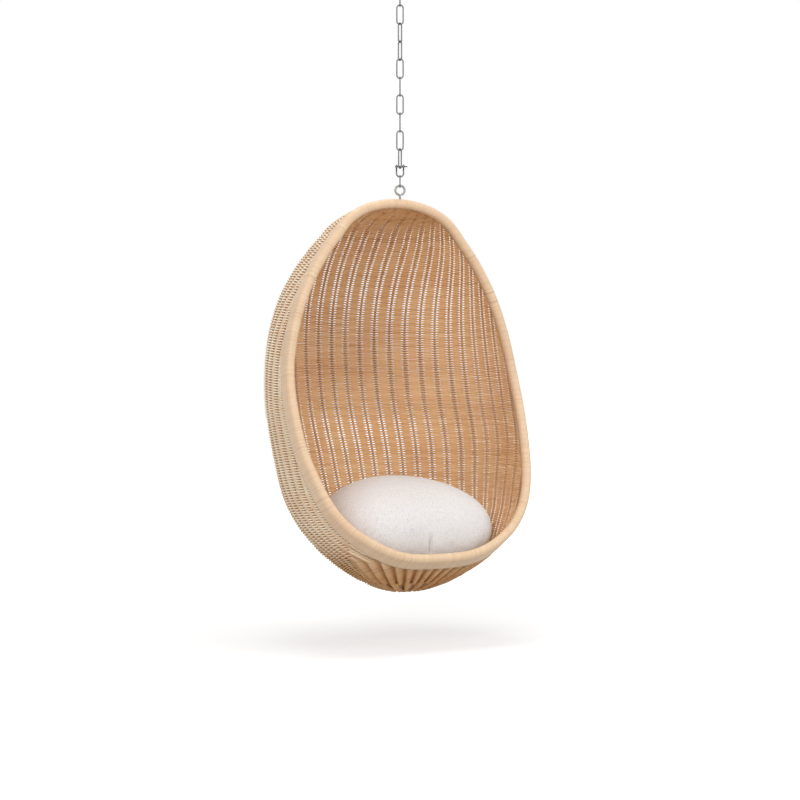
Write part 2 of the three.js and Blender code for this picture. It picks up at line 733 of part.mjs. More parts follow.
// The screw eye in the rim's top, with its ring's middle at the origin
function screwEye() {
  const ring = new THREE.TorusGeometry((EYE_DIAMETER - EYE_WIRE) / 2, EYE_WIRE / 2, 8, 20);
  ring.rotateX(Math.PI / 2);
  const length = EYE_WIRE / 2 + EYE_NECK + WRAP_THICKNESS + CLEARANCE + EYE_SHANK_DEPTH;
  const shank = rod(EYE_WIRE, length);
  shank.rotateX(Math.PI / 2);
  shank.translate(0, 0, EYE_WIRE / 2 - EYE_DIAMETER / 2 - length / 2);
  return combine(ring, shank);
}

// The rim's bent steel tube
function rimTube() {
  const outside = circleOutline(POLE_DIAMETER / 2, POLE_SIDES);
  const inside = circleOutline(POLE_DIAMETER / 2 - POLE_WALL, POLE_SIDES);
  return boredForShank(cutAway(sweepRim(outside), sweepRim(inside)));
}

// Bores a rim piece for the screw eye's shank
function boredForShank(geometry) {
  const cutter = boreCutter(EYE_WIRE);
  cutter.rotateX(Math.PI / 2);
  const bottom = SHELL_HEIGHT + POLE_DIAMETER / 2 - EYE_SHANK_DEPTH - CLEARANCE;
  cutter.translate(0, 0, bottom + CUT_OVERRUN / 2);
  return cutAway(geometry, cutter);
}

// The shackle's bow, with a bored ear at each end for the pin
function shackleBow() {
  const bend = (SHACKLE_WIDTH - SHACKLE_WIRE) / 2;
  let bow = bentBow(SHACKLE_WIRE, SHACKLE_WIDTH, SHACKLE_LENGTH);
  for (const side of [-1, 1]) {
    const ear = rod(SHACKLE_EAR_DIAMETER, SHACKLE_EAR_THICKNESS);
    ear.rotateZ(Math.PI / 2);
    ear.translate(side * bend, 0, 0);
    bow = combine(bow, ear);
  }
  const cutter = boreCutter(SHACKLE_PIN_DIAMETER);
  cutter.rotateZ(Math.PI / 2);
  return cutAway(bow, cutter);
}

// The shackle's pin, with a flat eye at one end to turn it by
function shacklePin() {
  const ears = SHACKLE_WIDTH - SHACKLE_WIRE + SHACKLE_EAR_THICKNESS;
  const length = ears + PIN_TAIL + CLEARANCE + PIN_EYE_THICKNESS;
  const shaft = rod(SHACKLE_PIN_DIAMETER, length);
  shaft.rotateZ(Math.PI / 2);
  shaft.translate((ears - length) / 2 + CLEARANCE + PIN_EYE_THICKNESS, 0, 0);
  const head = rod(PIN_EYE_DIAMETER, PIN_EYE_THICKNESS);
  const reach = ears / 2 + CLEARANCE + PIN_EYE_DIAMETER / 2;
  head.translate(reach, 0, 0);
  const cutter = rod(PIN_EYE_BORE, CUT_OVERRUN);
  cutter.translate(reach + CLEARANCE, 0, 0);
  return cutAway(combine(shaft, head), cutter);
}

// The ceiling plate with its screw holes, its top face at height zero
function ceilingPlate() {
  const profile = [
    [0, -PLATE_THICKNESS],
    [PLATE_DIAMETER / 2 - PLATE_CHAMFER, -PLATE_THICKNESS],
    [PLATE_DIAMETER / 2, PLATE_CHAMFER - PLATE_THICKNESS],
    [PLATE_DIAMETER / 2, 0],
    [0, 0],
  ].map(([radius, height]) => new THREE.Vector2(radius, height));
  let plate = new THREE.LatheGeometry(profile, 3 * ROUND_SIDES);
  plate.rotateX(Math.PI / 2);
  for (let i = 0; i < PLATE_HOLE_COUNT; i += 1) {
    const angle = (2 * Math.PI * i) / PLATE_HOLE_COUNT + Math.PI / 2;
    const cutter = rod(PLATE_HOLE_DIAMETER, CUT_OVERRUN);
    cutter.rotateX(Math.PI / 2);
    cutter.translate((PLATE_HOLE_CIRCLE / 2) * Math.cos(angle), (PLATE_HOLE_CIRCLE / 2) * Math.sin(angle), 0);
    plate = cutAway(plate, cutter);
  }
  return plate;
}

// Heights from the ceiling down. Each wire rests on the one below it with the clearance between them
const restOn = (lower, upper) => (lower + upper) / 2 + CLEARANCE;
const LOOP_TOP = -PLATE_THICKNESS - CLEARANCE;
const LOOP_BOTTOM = LOOP_TOP - LOOP_DROP + LOOP_WIRE / 2;
const LINK_RUN = LINK_INSIDE_LENGTH + LINK_WIRE;
const LINK_STEP = LINK_RUN - restOn(LINK_WIRE, LINK_WIRE);
const FIRST_LINK_TOP = LOOP_BOTTOM + restOn(LOOP_WIRE, LINK_WIRE);
const LAST_LINK_BOTTOM = FIRST_LINK_TOP - LINK_STEP * (LINK_TURNS.length - 1) - LINK_RUN;
const PIN_LEVEL = LAST_LINK_BOTTOM + restOn(LINK_WIRE, SHACKLE_PIN_DIAMETER);
const BOW_BOTTOM = PIN_LEVEL - SHACKLE_LENGTH + SHACKLE_WIRE / 2;
const CONNECTOR_RUN = CONNECTOR_INSIDE_LENGTH + CONNECTOR_WIRE;
const CONNECTOR_TOP = BOW_BOTTOM + restOn(SHACKLE_WIRE, CONNECTOR_WIRE);
const EYE_TOP = CONNECTOR_TOP - CONNECTOR_RUN + restOn(CONNECTOR_WIRE, EYE_WIRE);
const EYE_LEVEL = EYE_TOP - (EYE_DIAMETER - EYE_WIRE) / 2;
const RIM_TOP = EYE_LEVEL - EYE_DIAMETER / 2 - EYE_NECK - WRAP_OUTSIDE;
const SHELL_BOTTOM = RIM_TOP - SHELL_HEIGHT;

const chair = new THREE.Group();
const shell = new THREE.Group();
shell.position.z = SHELL_BOTTOM;
const hanger = new THREE.Group();
hanger.rotation.z = THREE.MathUtils.degToRad(HANG_TURN);
chair.add(shell, hanger);

function addPiece(parent, name, geometry, color, roughness, metalness) {
  const bare = bareGeometry(geometry);
  bare.computeVertexNormals();
  const piece = new THREE.Mesh(bare, new THREE.MeshStandardMaterial({ color, roughness, metalness }));
  piece.name = name;
  parent.add(piece);
  return piece;
}

const twoDigits = (number) => String(number).padStart(2, '0');
const addSteel = (name, geometry, height, turn = 0) => {
  const piece = addPiece(hanger, name, geometry, STEEL_COLOUR, 0.3, 1);
  piece.position.z = height;
  piece.rotation.z = THREE.MathUtils.degToRad(turn);
};

for (let index = 0; index < STAKE_COUNT; index += 1) {
  addPiece(shell, `stake_${twoDigits(index + 1)}`, stake(index), STAKE_COLOUR, 0.7, 0);
}
COURSE_END_SHARES.forEach((_, course) => {
  addPiece(shell, `weave_course_${course + 1}`, weaveCourse(course), WEAVE_COLOUR, 0.7, 0);
});
addPiece(shell, 'base_knot', baseKnot(), STAKE_COLOUR, 0.7, 0);
addPiece(shell, 'rim_pole', rimTube(), STEEL_COLOUR, 0.4, 1);
addPiece(shell, 'rim_wrap', boredForShank(sweepRim(wrapOutline(0))), PEEL_COLOUR, 0.55, 0);
addPiece(shell, 'seat_cushion', seatCushion(), FABRIC_COLOUR, 0.95, 0);

addSteel('screw_eye', screwEye(), EYE_LEVEL);
addSteel(
  'connecting_link',
  ovalRing(CONNECTOR_WIRE, CONNECTOR_WIDTH, CONNECTOR_INSIDE_LENGTH),
  CONNECTOR_TOP - CONNECTOR_RUN / 2,
  90,
);
addSteel('shackle_bow', shackleBow(), PIN_LEVEL);
addSteel('shackle_pin', shacklePin(), PIN_LEVEL);
LINK_TURNS.forEach((turn, index) => {
  const height = FIRST_LINK_TOP - LINK_STEP * index - LINK_RUN / 2;
  addSteel(`chain_link_${twoDigits(index + 1)}`, ovalRing(LINK_WIRE, LINK_WIDTH, LINK_INSIDE_LENGTH), height, turn);
});
addSteel('ceiling_loop', bentBow(LOOP_WIRE, LOOP_WIDTH, LOOP_DROP), LOOP_TOP);
addSteel('ceiling_plate', ceilingPlate(), 0);

export default chair;
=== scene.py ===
import math

import bpy
import numpy as np
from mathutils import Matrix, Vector

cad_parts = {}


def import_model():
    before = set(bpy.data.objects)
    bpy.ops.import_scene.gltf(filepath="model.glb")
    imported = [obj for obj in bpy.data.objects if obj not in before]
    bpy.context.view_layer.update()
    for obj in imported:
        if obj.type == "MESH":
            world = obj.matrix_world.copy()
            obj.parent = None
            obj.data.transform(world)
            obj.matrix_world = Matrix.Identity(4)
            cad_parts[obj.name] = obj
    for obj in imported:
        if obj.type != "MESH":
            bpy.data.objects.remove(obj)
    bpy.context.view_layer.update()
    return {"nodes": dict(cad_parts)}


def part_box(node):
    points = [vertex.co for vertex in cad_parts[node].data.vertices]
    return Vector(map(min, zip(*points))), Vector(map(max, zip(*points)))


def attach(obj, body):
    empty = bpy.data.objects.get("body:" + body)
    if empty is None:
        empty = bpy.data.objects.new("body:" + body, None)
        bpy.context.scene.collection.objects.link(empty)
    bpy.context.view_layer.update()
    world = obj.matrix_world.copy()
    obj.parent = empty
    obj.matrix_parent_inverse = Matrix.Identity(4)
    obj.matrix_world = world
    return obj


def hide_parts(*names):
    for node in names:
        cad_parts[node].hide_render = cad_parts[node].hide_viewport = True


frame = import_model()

# The looks of a hanging pod chair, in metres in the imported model's frame, +Z up.
# The woven shell's surface is worked out here from the same sizes as the solids.

random = np.random.default_rng(7)

# The shell's mid-wall surface, with its lowest point as height zero
SHELL_HEIGHT = 1.25
SHELL_WIDTH = 0.85
SHELL_DEPTH = 0.75
STATION_SHARES = [0, 0.04, 0.1, 0.2, 0.32, 0.5, 0.75, 0.9, 1]
WIDTH_SHARES = [0.94, 0.97, 1.03, 1.06, 1.03, 1.0, 0.975, 0.95, 1.14]
DEPTH_SHARES = [0.9, 0.92, 0.96, 0.985, 0.99, 1.03, 1.13, 1.27, 1.82]
CENTRE_SHARES = [-0.035, -0.043, -0.055, -0.055, -0.043, 0.02, 0.063, 0.043, 0]
LOW_SQUARENESS = 3.0
HIGH_SQUARENESS = 2.2
SQUARENESS_TOP_SHARE = 0.5
KNOT_DROP = 0.008
SHARE_MARGIN = 1e-5
SLOPE_REACH = 0.0006
RING_STEPS = 360

# The opening's lip and the rim on it
LIP_REACH = 0.252
LIP_STATION_SHARES = [0.09, 0.13, 0.18, 0.27, 0.4, 0.6, 0.8, 1]
LIP_SHARES = [1.0, 0.965, 0.853, 0.675, 0.397, 0.107, 0.036, 0]
LIP_BOTTOM_RANGE = (0.05, 0.25)
RIM_STEP = 0.006
RIM_SIDE_POINTS = 4001
RIM_TOP_MARGIN = 0.002
RIM_TURN_REACH = 0.02

# A tone below is a pair of middle and spread, and a noise along a path a pair of knot spacing and amount

# The stakes
STAKE_COUNT = 36
STAKE_RADIUS = 0.004
STAKE_SIDES = 8
STAKE_ROWS = 3
STAKE_END_SHARE = 0.4
STAKE_TONE = (0.5, 0.12)
STAKE_SHADE_NOISE = (12, 0.08)
WIDEST_PITCH_SHARE = 0.0418
PITCH_STATION_SHARES = [0.2, 0.45, 0.84, 0.9846, 0.9985]
PITCH_SHARES = [0.9, 1.0, 0.98, 0.86, 0.25]
CROWDING_SHARE = 0.9
TOP_SHARE = 0.9985

# The rows of weaving
COURSE_END_SHARES = [0.21, 0.46, 0.72, 0.9985]
ROW_PITCH = 0.00415
ROW_TABLE_START = 0.0005
ROW_TABLE_STEPS = 6000
ROW_START_RADIUS = 0.046
ROWS_PER_PIECE = 60
ROW_END_GAP = 0.0225
ROW_LEVEL_GAP = 0.037
ROW_TAPER_GAP = 0.052
ROW_END_REACH = 0.0032
ROW_FEWEST_POINTS = 4
ROW_LEAST_STEP = 0.02
OPENING_MARGIN = 0.03
STRAND_RADIUS = 0.00212
STRAND_SIDES = 6
STRAND_STATION_SHARES = [0, 0.11, 0.2, 0.31, 0.69, 0.8, 0.89]
STRAND_TALLNESS = 1.24
STRAND_THINNING = 0.12
STRAND_NARROWING = 0.38
STRAND_STRETCH = (0.88, 1.3)
STRAND_REACH_NOISE = (3, 0.035)
STRAND_HEIGHT_NOISE = (5, 0.00022)
STRAND_SHADE_NOISE = (8, 0.06)
STRAND_TONE = (0.55, 0.09)
STRAND_TONE_RANGE = (0.03, 0.97)
DARK_STRAND_SHARE = 0.04
DARK_STRAND_DROP = 0.16
LEAST_STEEPNESS = 0.2
WEAVE_REACH = STAKE_RADIUS + STRAND_RADIUS
WEAVE_LIMIT = WEAVE_REACH * 1.6
OVER_START_SHARE = 0.05
OVER_END_SHARE = 0.36
OVER_TILT = 0.105

# The pleats at the shell's foot
SIDE_PLEAT_TOP = 0.03
FRONT_PLEAT_TOP = 0.2
PLEAT_FRONT = (0.15, 0.7)
PLEAT_MERGE = 0.036
PLEAT_FADE = 0.012
PLEAT_FALL_SHARE = 0.84
PLEAT_REACH = 1.3

# The stakes' ends at the bottom
FAN_RADIUS = 0.017
FAN_STEPS = 9
FAN_END_RADIUS = 0.0017
FAN_LIFT = 0.0005
FAN_BEND_POWER = 1.5
FAN_TONE = (0.4, 0.1)
FAN_INSET = 0.002
FAN_DROPS = (0.0025, 0.0065)
FAN_DROP_SPREAD = 0.0008

# The rim's tube and its binding, whose outline is in pairs of reach into the wall and reach outward
TUBE_RADIUS = 0.013
BINDING_INSIDE = 0.0134
BINDING_OUTSIDE = 0.0152
BINDING_TURN = 0.0046
BINDING_STEPS = 4
BINDING_ARC = (math.pi * 0.33, math.pi * 1.67)
BINDING_OUTER_STEPS = 15
BINDING_INNER_STEPS = 7
BINDING_OUTER_FLANGE = [(0.041, 0.0066), (0.035, 0.0088), (0.021, 0.0106)]
BINDING_OUTER_TAIL = [(0.021, -0.0088), (0.027, -0.0074)]
BINDING_INNER_TAIL = [(0.027, -0.0054)]
BINDING_INNER_FLANGE = [(0.024, 0.0088), (0.034, 0.0074), (0.041, 0.0056)]
BINDING_ROUND_REACH = 0.02
BINDING_TONE = (0.6, 0.06)
BINDING_TONE_RANGE = (0.05, 0.95)
DARK_TURN_SHARE = 0.03
DARK_TURN_DROP = 0.2
BINDING_RELIEF = np.array([-0.0004, -0.00005, 0.0, -0.00005])
# Painted shade in the grooves between the binding's turns
BINDING_GROOVE_PAINTED_SHADE = np.array([-0.3, -0.03, 0.0, -0.03])

# A tube's ends are closed by a ring of this share of its radius
END_RING_SHARE = 0.02

SHELL_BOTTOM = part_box("base_knot")[0][2] + KNOT_DROP


def smooth_table(stations, values):
    """Monotone cubic through a table of stations and values."""
    stations = np.array(stations, float)
    values = np.array(values, float)
    slopes = np.diff(values) / np.diff(stations)
    tangents = np.concatenate([slopes[:1], np.zeros(len(slopes) - 1), slopes[-1:]])
    for i in range(1, len(slopes)):
        if slopes[i - 1] * slopes[i] > 0:
            tangents[i] = 2 / (1 / slopes[i - 1] + 1 / slopes[i])

    def look_up(x):
        at = np.clip(np.asarray(x, float), stations[0], stations[-1])
        i = np.clip(np.searchsorted(stations, at, side="left") - 1, 0, len(slopes) - 1)
        step = stations[i + 1] - stations[i]
        u = (at - stations[i]) / step
        rise = u * u * (3 - 2 * u)
        lead = step * tangents[i] * u * (1 - u) ** 2
        tail = step * tangents[i + 1] * u * u * (u - 1)
        return values[i] * (1 - rise) + values[i + 1] * rise + lead + tail

    return look_up


width_share = smooth_table(STATION_SHARES, WIDTH_SHARES)
depth_share = smooth_table(STATION_SHARES, DEPTH_SHARES)
centre_share = smooth_table(STATION_SHARES, CENTRE_SHARES)
lip_share = smooth_table(LIP_STATION_SHARES, LIP_SHARES)
pitch_share = smooth_table(PITCH_STATION_SHARES, PITCH_SHARES)


def smooth_step(x, start, end):
    t = np.clip((x - start) / (end - start), 0, 1)
    return t * t * (3 - 2 * t)


def unit(vectors):
    return vectors / np.maximum(np.linalg.norm(vectors, axis=-1, keepdims=True), 1e-12)


def running_length(steps):
    return np.concatenate([[0], np.cumsum(steps)])


def directions(path, closed=False):
    """Unit vectors along a path."""
    if closed:
        return unit(np.roll(path, -1, axis=0) - np.roll(path, 1, axis=0))
    return unit(np.gradient(path, axis=0))


def section_at(height):
    """Half width, half depth, centre and squareness of the level section at a height."""
    share = np.clip(np.asarray(height, float) / SHELL_HEIGHT, SHARE_MARGIN, 1 - SHARE_MARGIN)
    swell = 2 * np.sqrt(share * (1 - share))
    rounding = smooth_step(share, 0, SQUARENESS_TOP_SHARE)
    power = LOW_SQUARENESS + (HIGH_SQUARENESS - LOW_SQUARENESS) * rounding
    half_width = SHELL_WIDTH / 2 * swell * width_share(share)
    half_depth = SHELL_DEPTH / 2 * swell * depth_share(share)
    return half_width, half_depth, SHELL_DEPTH * centre_share(share), power


def lip_forward(height):
    return -LIP_REACH * lip_share(np.asarray(height) / SHELL_HEIGHT)


def gauge(points):
    """One on the surface, less inside it and more outside."""
    half_width, half_depth, centre, power = section_at(points[:, 2])
    wide = np.abs(points[:, 0] / half_width) ** power
    deep = np.abs((points[:, 1] - centre) / half_depth) ** power
    return (wide + deep) ** (1 / power)


def gauge_slope(points):
    """The gauge's gradient, which points outward."""
    columns = []
    for axis in range(3):
        step = np.zeros(3)
        step[axis] = SLOPE_REACH
        columns.append((gauge(points + step) - gauge(points - step)) / (2 * SLOPE_REACH))
    return np.stack(columns, axis=1)


class Ring:
    """A level ring of the surface, with places by arc length from the middle of the back."""

    def __init__(self, height):
        self.height = height
        half_width, half_depth, centre, power = section_at(height)
        angle = np.linspace(0, math.pi, RING_STEPS + 1)
        bend = 2 / power
        self.x = half_width * np.abs(np.sin(angle)) ** bend
        self.y = centre + half_depth * np.sign(np.cos(angle)) * np.abs(np.cos(angle)) ** bend
        self.lengths = running_length(np.hypot(np.diff(self.x), np.diff(self.y)))
        self.half = self.lengths[-1]

    def points(self, arcs):
        length = np.minimum(np.abs(arcs), self.half)
        x = np.sign(arcs) * np.interp(length, self.lengths, self.x)
        y = np.interp(length, self.lengths, self.y)
        return np.stack([x, y, np.full(len(arcs), self.height)], axis=1)


def first_where(test, low, high):
    """Where a rising test first holds between two values."""
    while high - low > 1e-6:
        middle = (low + high) / 2
        if test(middle):
            high = middle
        else:
            low = middle
    return high


def lip_is_behind_front(height):
    _, half_depth, centre, _ = section_at(height)
    return lip_forward(height) > centre - half_depth


LIP_BOTTOM = first_where(lip_is_behind_front, *LIP_BOTTOM_RANGE)
WIDEST_PITCH = WIDEST_PITCH_SHARE * Ring(PITCH_STATION_SHARES[1] * SHELL_HEIGHT).half
FULL_RING_PITCH = 2 * Ring(LIP_BOTTOM).half / STAKE_COUNT


def stake_pitch(ring):
    """The distance between neighbouring stakes along a ring."""
    height = ring.height
    if height <= LIP_BOTTOM:
        return 2 * ring.half / STAKE_COUNT
    first = PITCH_STATION_SHARES[0] * SHELL_HEIGHT
    if height >= first:
        return WIDEST_PITCH * float(pitch_share(height / SHELL_HEIGHT))
    share = (height - LIP_BOTTOM) / (first - LIP_BOTTOM)
    return FULL_RING_PITCH + (WIDEST_PITCH * PITCH_SHARES[0] - FULL_RING_PITCH) * share


def stake_arcs(ring, places):
    """Arc lengths of places counted in stakes, whole numbers being stakes."""
    arcs = (np.asarray(places, float) - (STAKE_COUNT - 1) / 2) * stake_pitch(ring)
    if ring.height <= LIP_BOTTOM:
        return arcs
    free = ring.half * CROWDING_SHARE
    room = ring.half - free
    over = np.maximum(np.abs(arcs) - free, 0)
    crowded = free + room * (1 - np.exp(-over / room)) * CROWDING_SHARE
    return np.where(np.abs(arcs) <= free, arcs, np.sign(arcs) * crowded)


def rim_line(step):
    """The rim's centre line as a closed loop in even steps, with its ways outward and inward."""
    share = (1 - np.cos(np.linspace(0, math.pi, RIM_SIDE_POINTS))) / 2
    height = LIP_BOTTOM + (SHELL_HEIGHT - LIP_BOTTOM) * share
    half_width, half_depth, centre, power = section_at(height)
    y = lip_forward(height)
    forward = np.clip(np.abs((y - centre) / half_depth), 0, 1)
    forward[[0, -1]] = 1
    x = half_width * (1 - forward ** power) ** (1 / power)
    line = np.stack([x, y, height], axis=1)
    lengths = running_length(np.linalg.norm(np.diff(line, axis=0), axis=1))
    count = int(round(lengths[-1] / step))
    targets = np.linspace(0, lengths[-1], count + 1)
    side = np.stack([np.interp(targets, lengths, line[:, k]) for k in range(3)], axis=1)
    side[[0, -1], 0] = 0
    other = side[1:-1][::-1] * np.array([-1, 1, 1])
    centres = np.concatenate([side, other])
    along = directions(centres, closed=True)
    at = centres.copy()
    at[:, 2] = np.minimum(at[:, 2], SHELL_HEIGHT - RIM_TOP_MARGIN)
    outward = unit(gauge_slope(at))
    outward[count] = (0, 0, 1)
    reach = max(int(round(RIM_TURN_REACH / step)), 1)
    kernel = np.hanning(2 * reach + 3)[1:-1]
    kernel /= kernel.sum()
    for k in range(3):
        ends = np.concatenate([outward[-reach:, k], outward[:, k], outward[:reach, k]])
        outward[:, k] = np.convolve(ends, kernel, mode="valid")
    outward = unit(outward - along * np.sum(outward * along, axis=1, keepdims=True))
    inward = unit(np.cross(along, outward))
    return centres, outward, inward


RIM_CENTRES = rim_line(RIM_STEP)[0]


def rim_distance(points):
    """How far points are from the rim's centre line, worked out in blocks to spare memory."""
    block = 400
    nearest = []
    for start in range(0, len(points), block):
        gaps = points[start:start + block, None, :] - RIM_CENTRES[None, :, :]
        nearest.append(np.sqrt((gaps ** 2).sum(axis=2)).min(axis=1))
    return np.concatenate(nearest)


def wall_gap(points):
    """The distance to the rim for points of the wall, and less than nothing for points in the opening."""
    gap = rim_distance(points)
    outside = (points[:, 2] > LIP_BOTTOM) & (points[:, 1] < lip_forward(points[:, 2]))
    return np.where(outside, -gap, gap)


# Meshes and pieces


def add_object(name, data):
    made = bpy.data.objects.new(name, data)
    bpy.context.scene.collection.objects.link(made)
    return made


def mesh_places(mesh, kind="co"):
    places = np.zeros(len(mesh.vertices) * 3)
    mesh.vertices.foreach_get(kind, places)
    return places.reshape(-1, 3)


def set_places(mesh, places):
    mesh.vertices.foreach_set("co", places.ravel())
    mesh.update()


def add_mesh(name, vertices, faces, material, smooth=True, **attributes):
    """A mesh object from arrays of vertices and of faces with equal numbers of corners."""
    vertices = np.asarray(vertices, np.float32)
    faces = np.asarray(faces, np.int32)
    mesh = bpy.data.meshes.new(name)
    corners = faces.shape[1]
    mesh.vertices.add(len(vertices))
    mesh.vertices.foreach_set("co", vertices.ravel())
    mesh.loops.add(faces.size)
    mesh.loops.foreach_set("vertex_index", faces.ravel())
    mesh.polygons.add(len(faces))
    mesh.polygons.foreach_set("loop_start", np.arange(0, faces.size, corners, dtype=np.int32))
    mesh.polygons.foreach_set("use_smooth", np.full(len(faces), smooth))
    mesh.update(calc_edges=True)
    for key, values in attributes.items():
        attribute = mesh.attributes.new(key, "FLOAT", "POINT")
        attribute.data.foreach_set("value", np.asarray(values, np.float32))
    mesh.materials.append(material)
    return add_object(name, mesh)


class Tubes:
    """Collects tubes and other closed bands of one piece."""

    def __init__(self):
        self.vertices = []
        self.faces = []
        self.shades = []
        self.reaches = []
        self.count = 0

    def grid(self, rows, shade, closed=False, reach=0.0):
        """Rows of points that each close on themselves. The last row joins the first where closed is set."""
        steps, width, _ = rows.shape
        index = np.arange(steps * width).reshape(steps, width) + self.count
        beside = np.roll(index, -1, axis=1)
        upper, upper_beside = np.roll(index, -1, axis=0), np.roll(beside, -1, axis=0)
        faces = np.stack([index, beside, upper_beside, upper], axis=-1)
        if not closed:
            faces = faces[:-1]
        self.faces.append(faces.reshape(-1, 4))
        self.vertices.append(rows.reshape(-1, 3))
        for values, kept in ((shade, self.shades), (reach, self.reaches)):
            values = np.broadcast_to(np.asarray(values, float), steps)
            kept.append(np.repeat(values, width))
        self.count += steps * width

    def piece(self, name, material):
        return add_mesh(
            name,
            np.concatenate(self.vertices),
            np.concatenate(self.faces),
            material,
            shade=np.concatenate(self.shades),
            reach=np.concatenate(self.reaches),
        )


def on_shell(points):
    """Moves points from the shell's own heights into the frame."""
    return points + np.array([0, 0, SHELL_BOTTOM])


def tube_rows(path, across, up, radius, sides, ends=True):
    """Rings of points round a path. Where ends is set, a small ring at each end closes the tube."""
    angle = 2 * math.pi * np.arange(sides) / sides
    radius = np.broadcast_to(np.asarray(radius, float), len(path))
    if ends:
        path = np.concatenate([path[:1], path, path[-1:]])
        across = np.concatenate([across[:1], across, across[-1:]])
        up = np.concatenate([up[:1], up, up[-1:]])
        radius = np.concatenate([radius[:1] * END_RING_SHARE, radius, radius[-1:] * END_RING_SHARE])
    cosines, sines = np.cos(angle)[None, :, None], np.sin(angle)[None, :, None]
    ring = across[:, None, :] * cosines + up[:, None, :] * sines
    return path[:, None, :] + ring * radius[:, None, None]


def put_on(piece, body, node):
    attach(piece, body)
    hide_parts(node)


# Materials


class Nodes:
    """Short ways to build the nodes of a material or of the world."""

    def __init__(self, owner):
        owner.use_nodes = True
        self.owner = owner
        self.tree = owner.node_tree
        self.shader = self.tree.nodes.get("Principled BSDF")

    def add(self, kind, settings=None, **inputs):
        node = self.tree.nodes.new(kind)
        for key, value in (settings or {}).items():
            setattr(node, key, value)
        for key, value in inputs.items():
            self.set(node, key.replace("_", " "), value)
        return node

    def set(self, node, key, value):
        if isinstance(value, bpy.types.NodeSocket):
            self.tree.links.new(value, node.inputs[key])
        else:
            node.inputs[key].default_value = value

    def base(self, **inputs):
        for key, value in inputs.items():
            self.set(self.shader, key.replace("_", " "), value)

    def join(self, kind, settings, *values):
        """A node's outputs, with sockets or numbers on its inputs in their order."""
        node = self.add(kind, settings)
        for index, value in enumerate(values):
            self.set(node, index, value)
        return node.outputs

    def maths(self, operation, *values):
        return self.join("ShaderNodeMath", {"operation": operation}, *values)[0]

    def vector_maths(self, operation, output, *values):
        return self.join("ShaderNodeVectorMath", {"operation": operation}, *values)[output]

    def coordinates(self, output="Object"):
        return self.add("ShaderNodeTexCoord").outputs[output]

    def noise(self, vector, scale, detail=3.0):
        node = self.add("ShaderNodeTexNoise", Vector=vector, Scale=scale, Detail=detail, Roughness=0.55)
        return node.outputs["Fac"]

    def ramp(self, factor, stops):
        node = self.add("ShaderNodeValToRGB", Fac=factor)
        elements = node.color_ramp.elements
        while len(elements) < len(stops):
            elements.new(0.5)
        for element, (place, colour) in zip(elements, stops):
            element.position = place
            element.color = (*colour, 1)
        return node.outputs["Color"]

    def mix(self, factor, first, second, blend="MIX"):
        node = self.add("ShaderNodeMix", {"data_type": "RGBA", "blend_type": blend, "clamp_factor": True})
        for index, value in ((0, factor), (6, first), (7, second)):
            self.set(node, index, (*value, 1) if isinstance(value, tuple) else value)
        return node.outputs[2]

    def attribute(self, name):
        return self.add("ShaderNodeAttribute", {"attribute_name": name}).outputs["Fac"]

    def between(self, value, low, high, out_low=0.0, out_high=1.0):
        """A number that goes smoothly from one level to another as a value goes from low to high."""
        node = self.add("ShaderNodeMapRange", {"interpolation_type": "SMOOTHSTEP"}, Value=value,
                        From_Min=low, From_Max=high, To_Min=out_low, To_Max=out_high)
        return node.outputs["Result"]

    def bump(self, height, distance, strength):
        node = self.add("ShaderNodeBump", Height=height, Distance=distance, Strength=strength)
        self.set(self.shader, "Normal", node.outputs["Normal"])


def material_nodes(name):
    return Nodes(bpy.data.materials.new(name))


def srgb(red, green, blue):
    """A colour given in the 0 to 255 numbers of a picture, as the shader takes it."""
    out = []
    for value in (red, green, blue):
        share = value / 255
        out.append(share / 12.92 if share <= 0.04045 else ((share + 0.055) / 1.055) ** 2.4)
    return tuple(out)


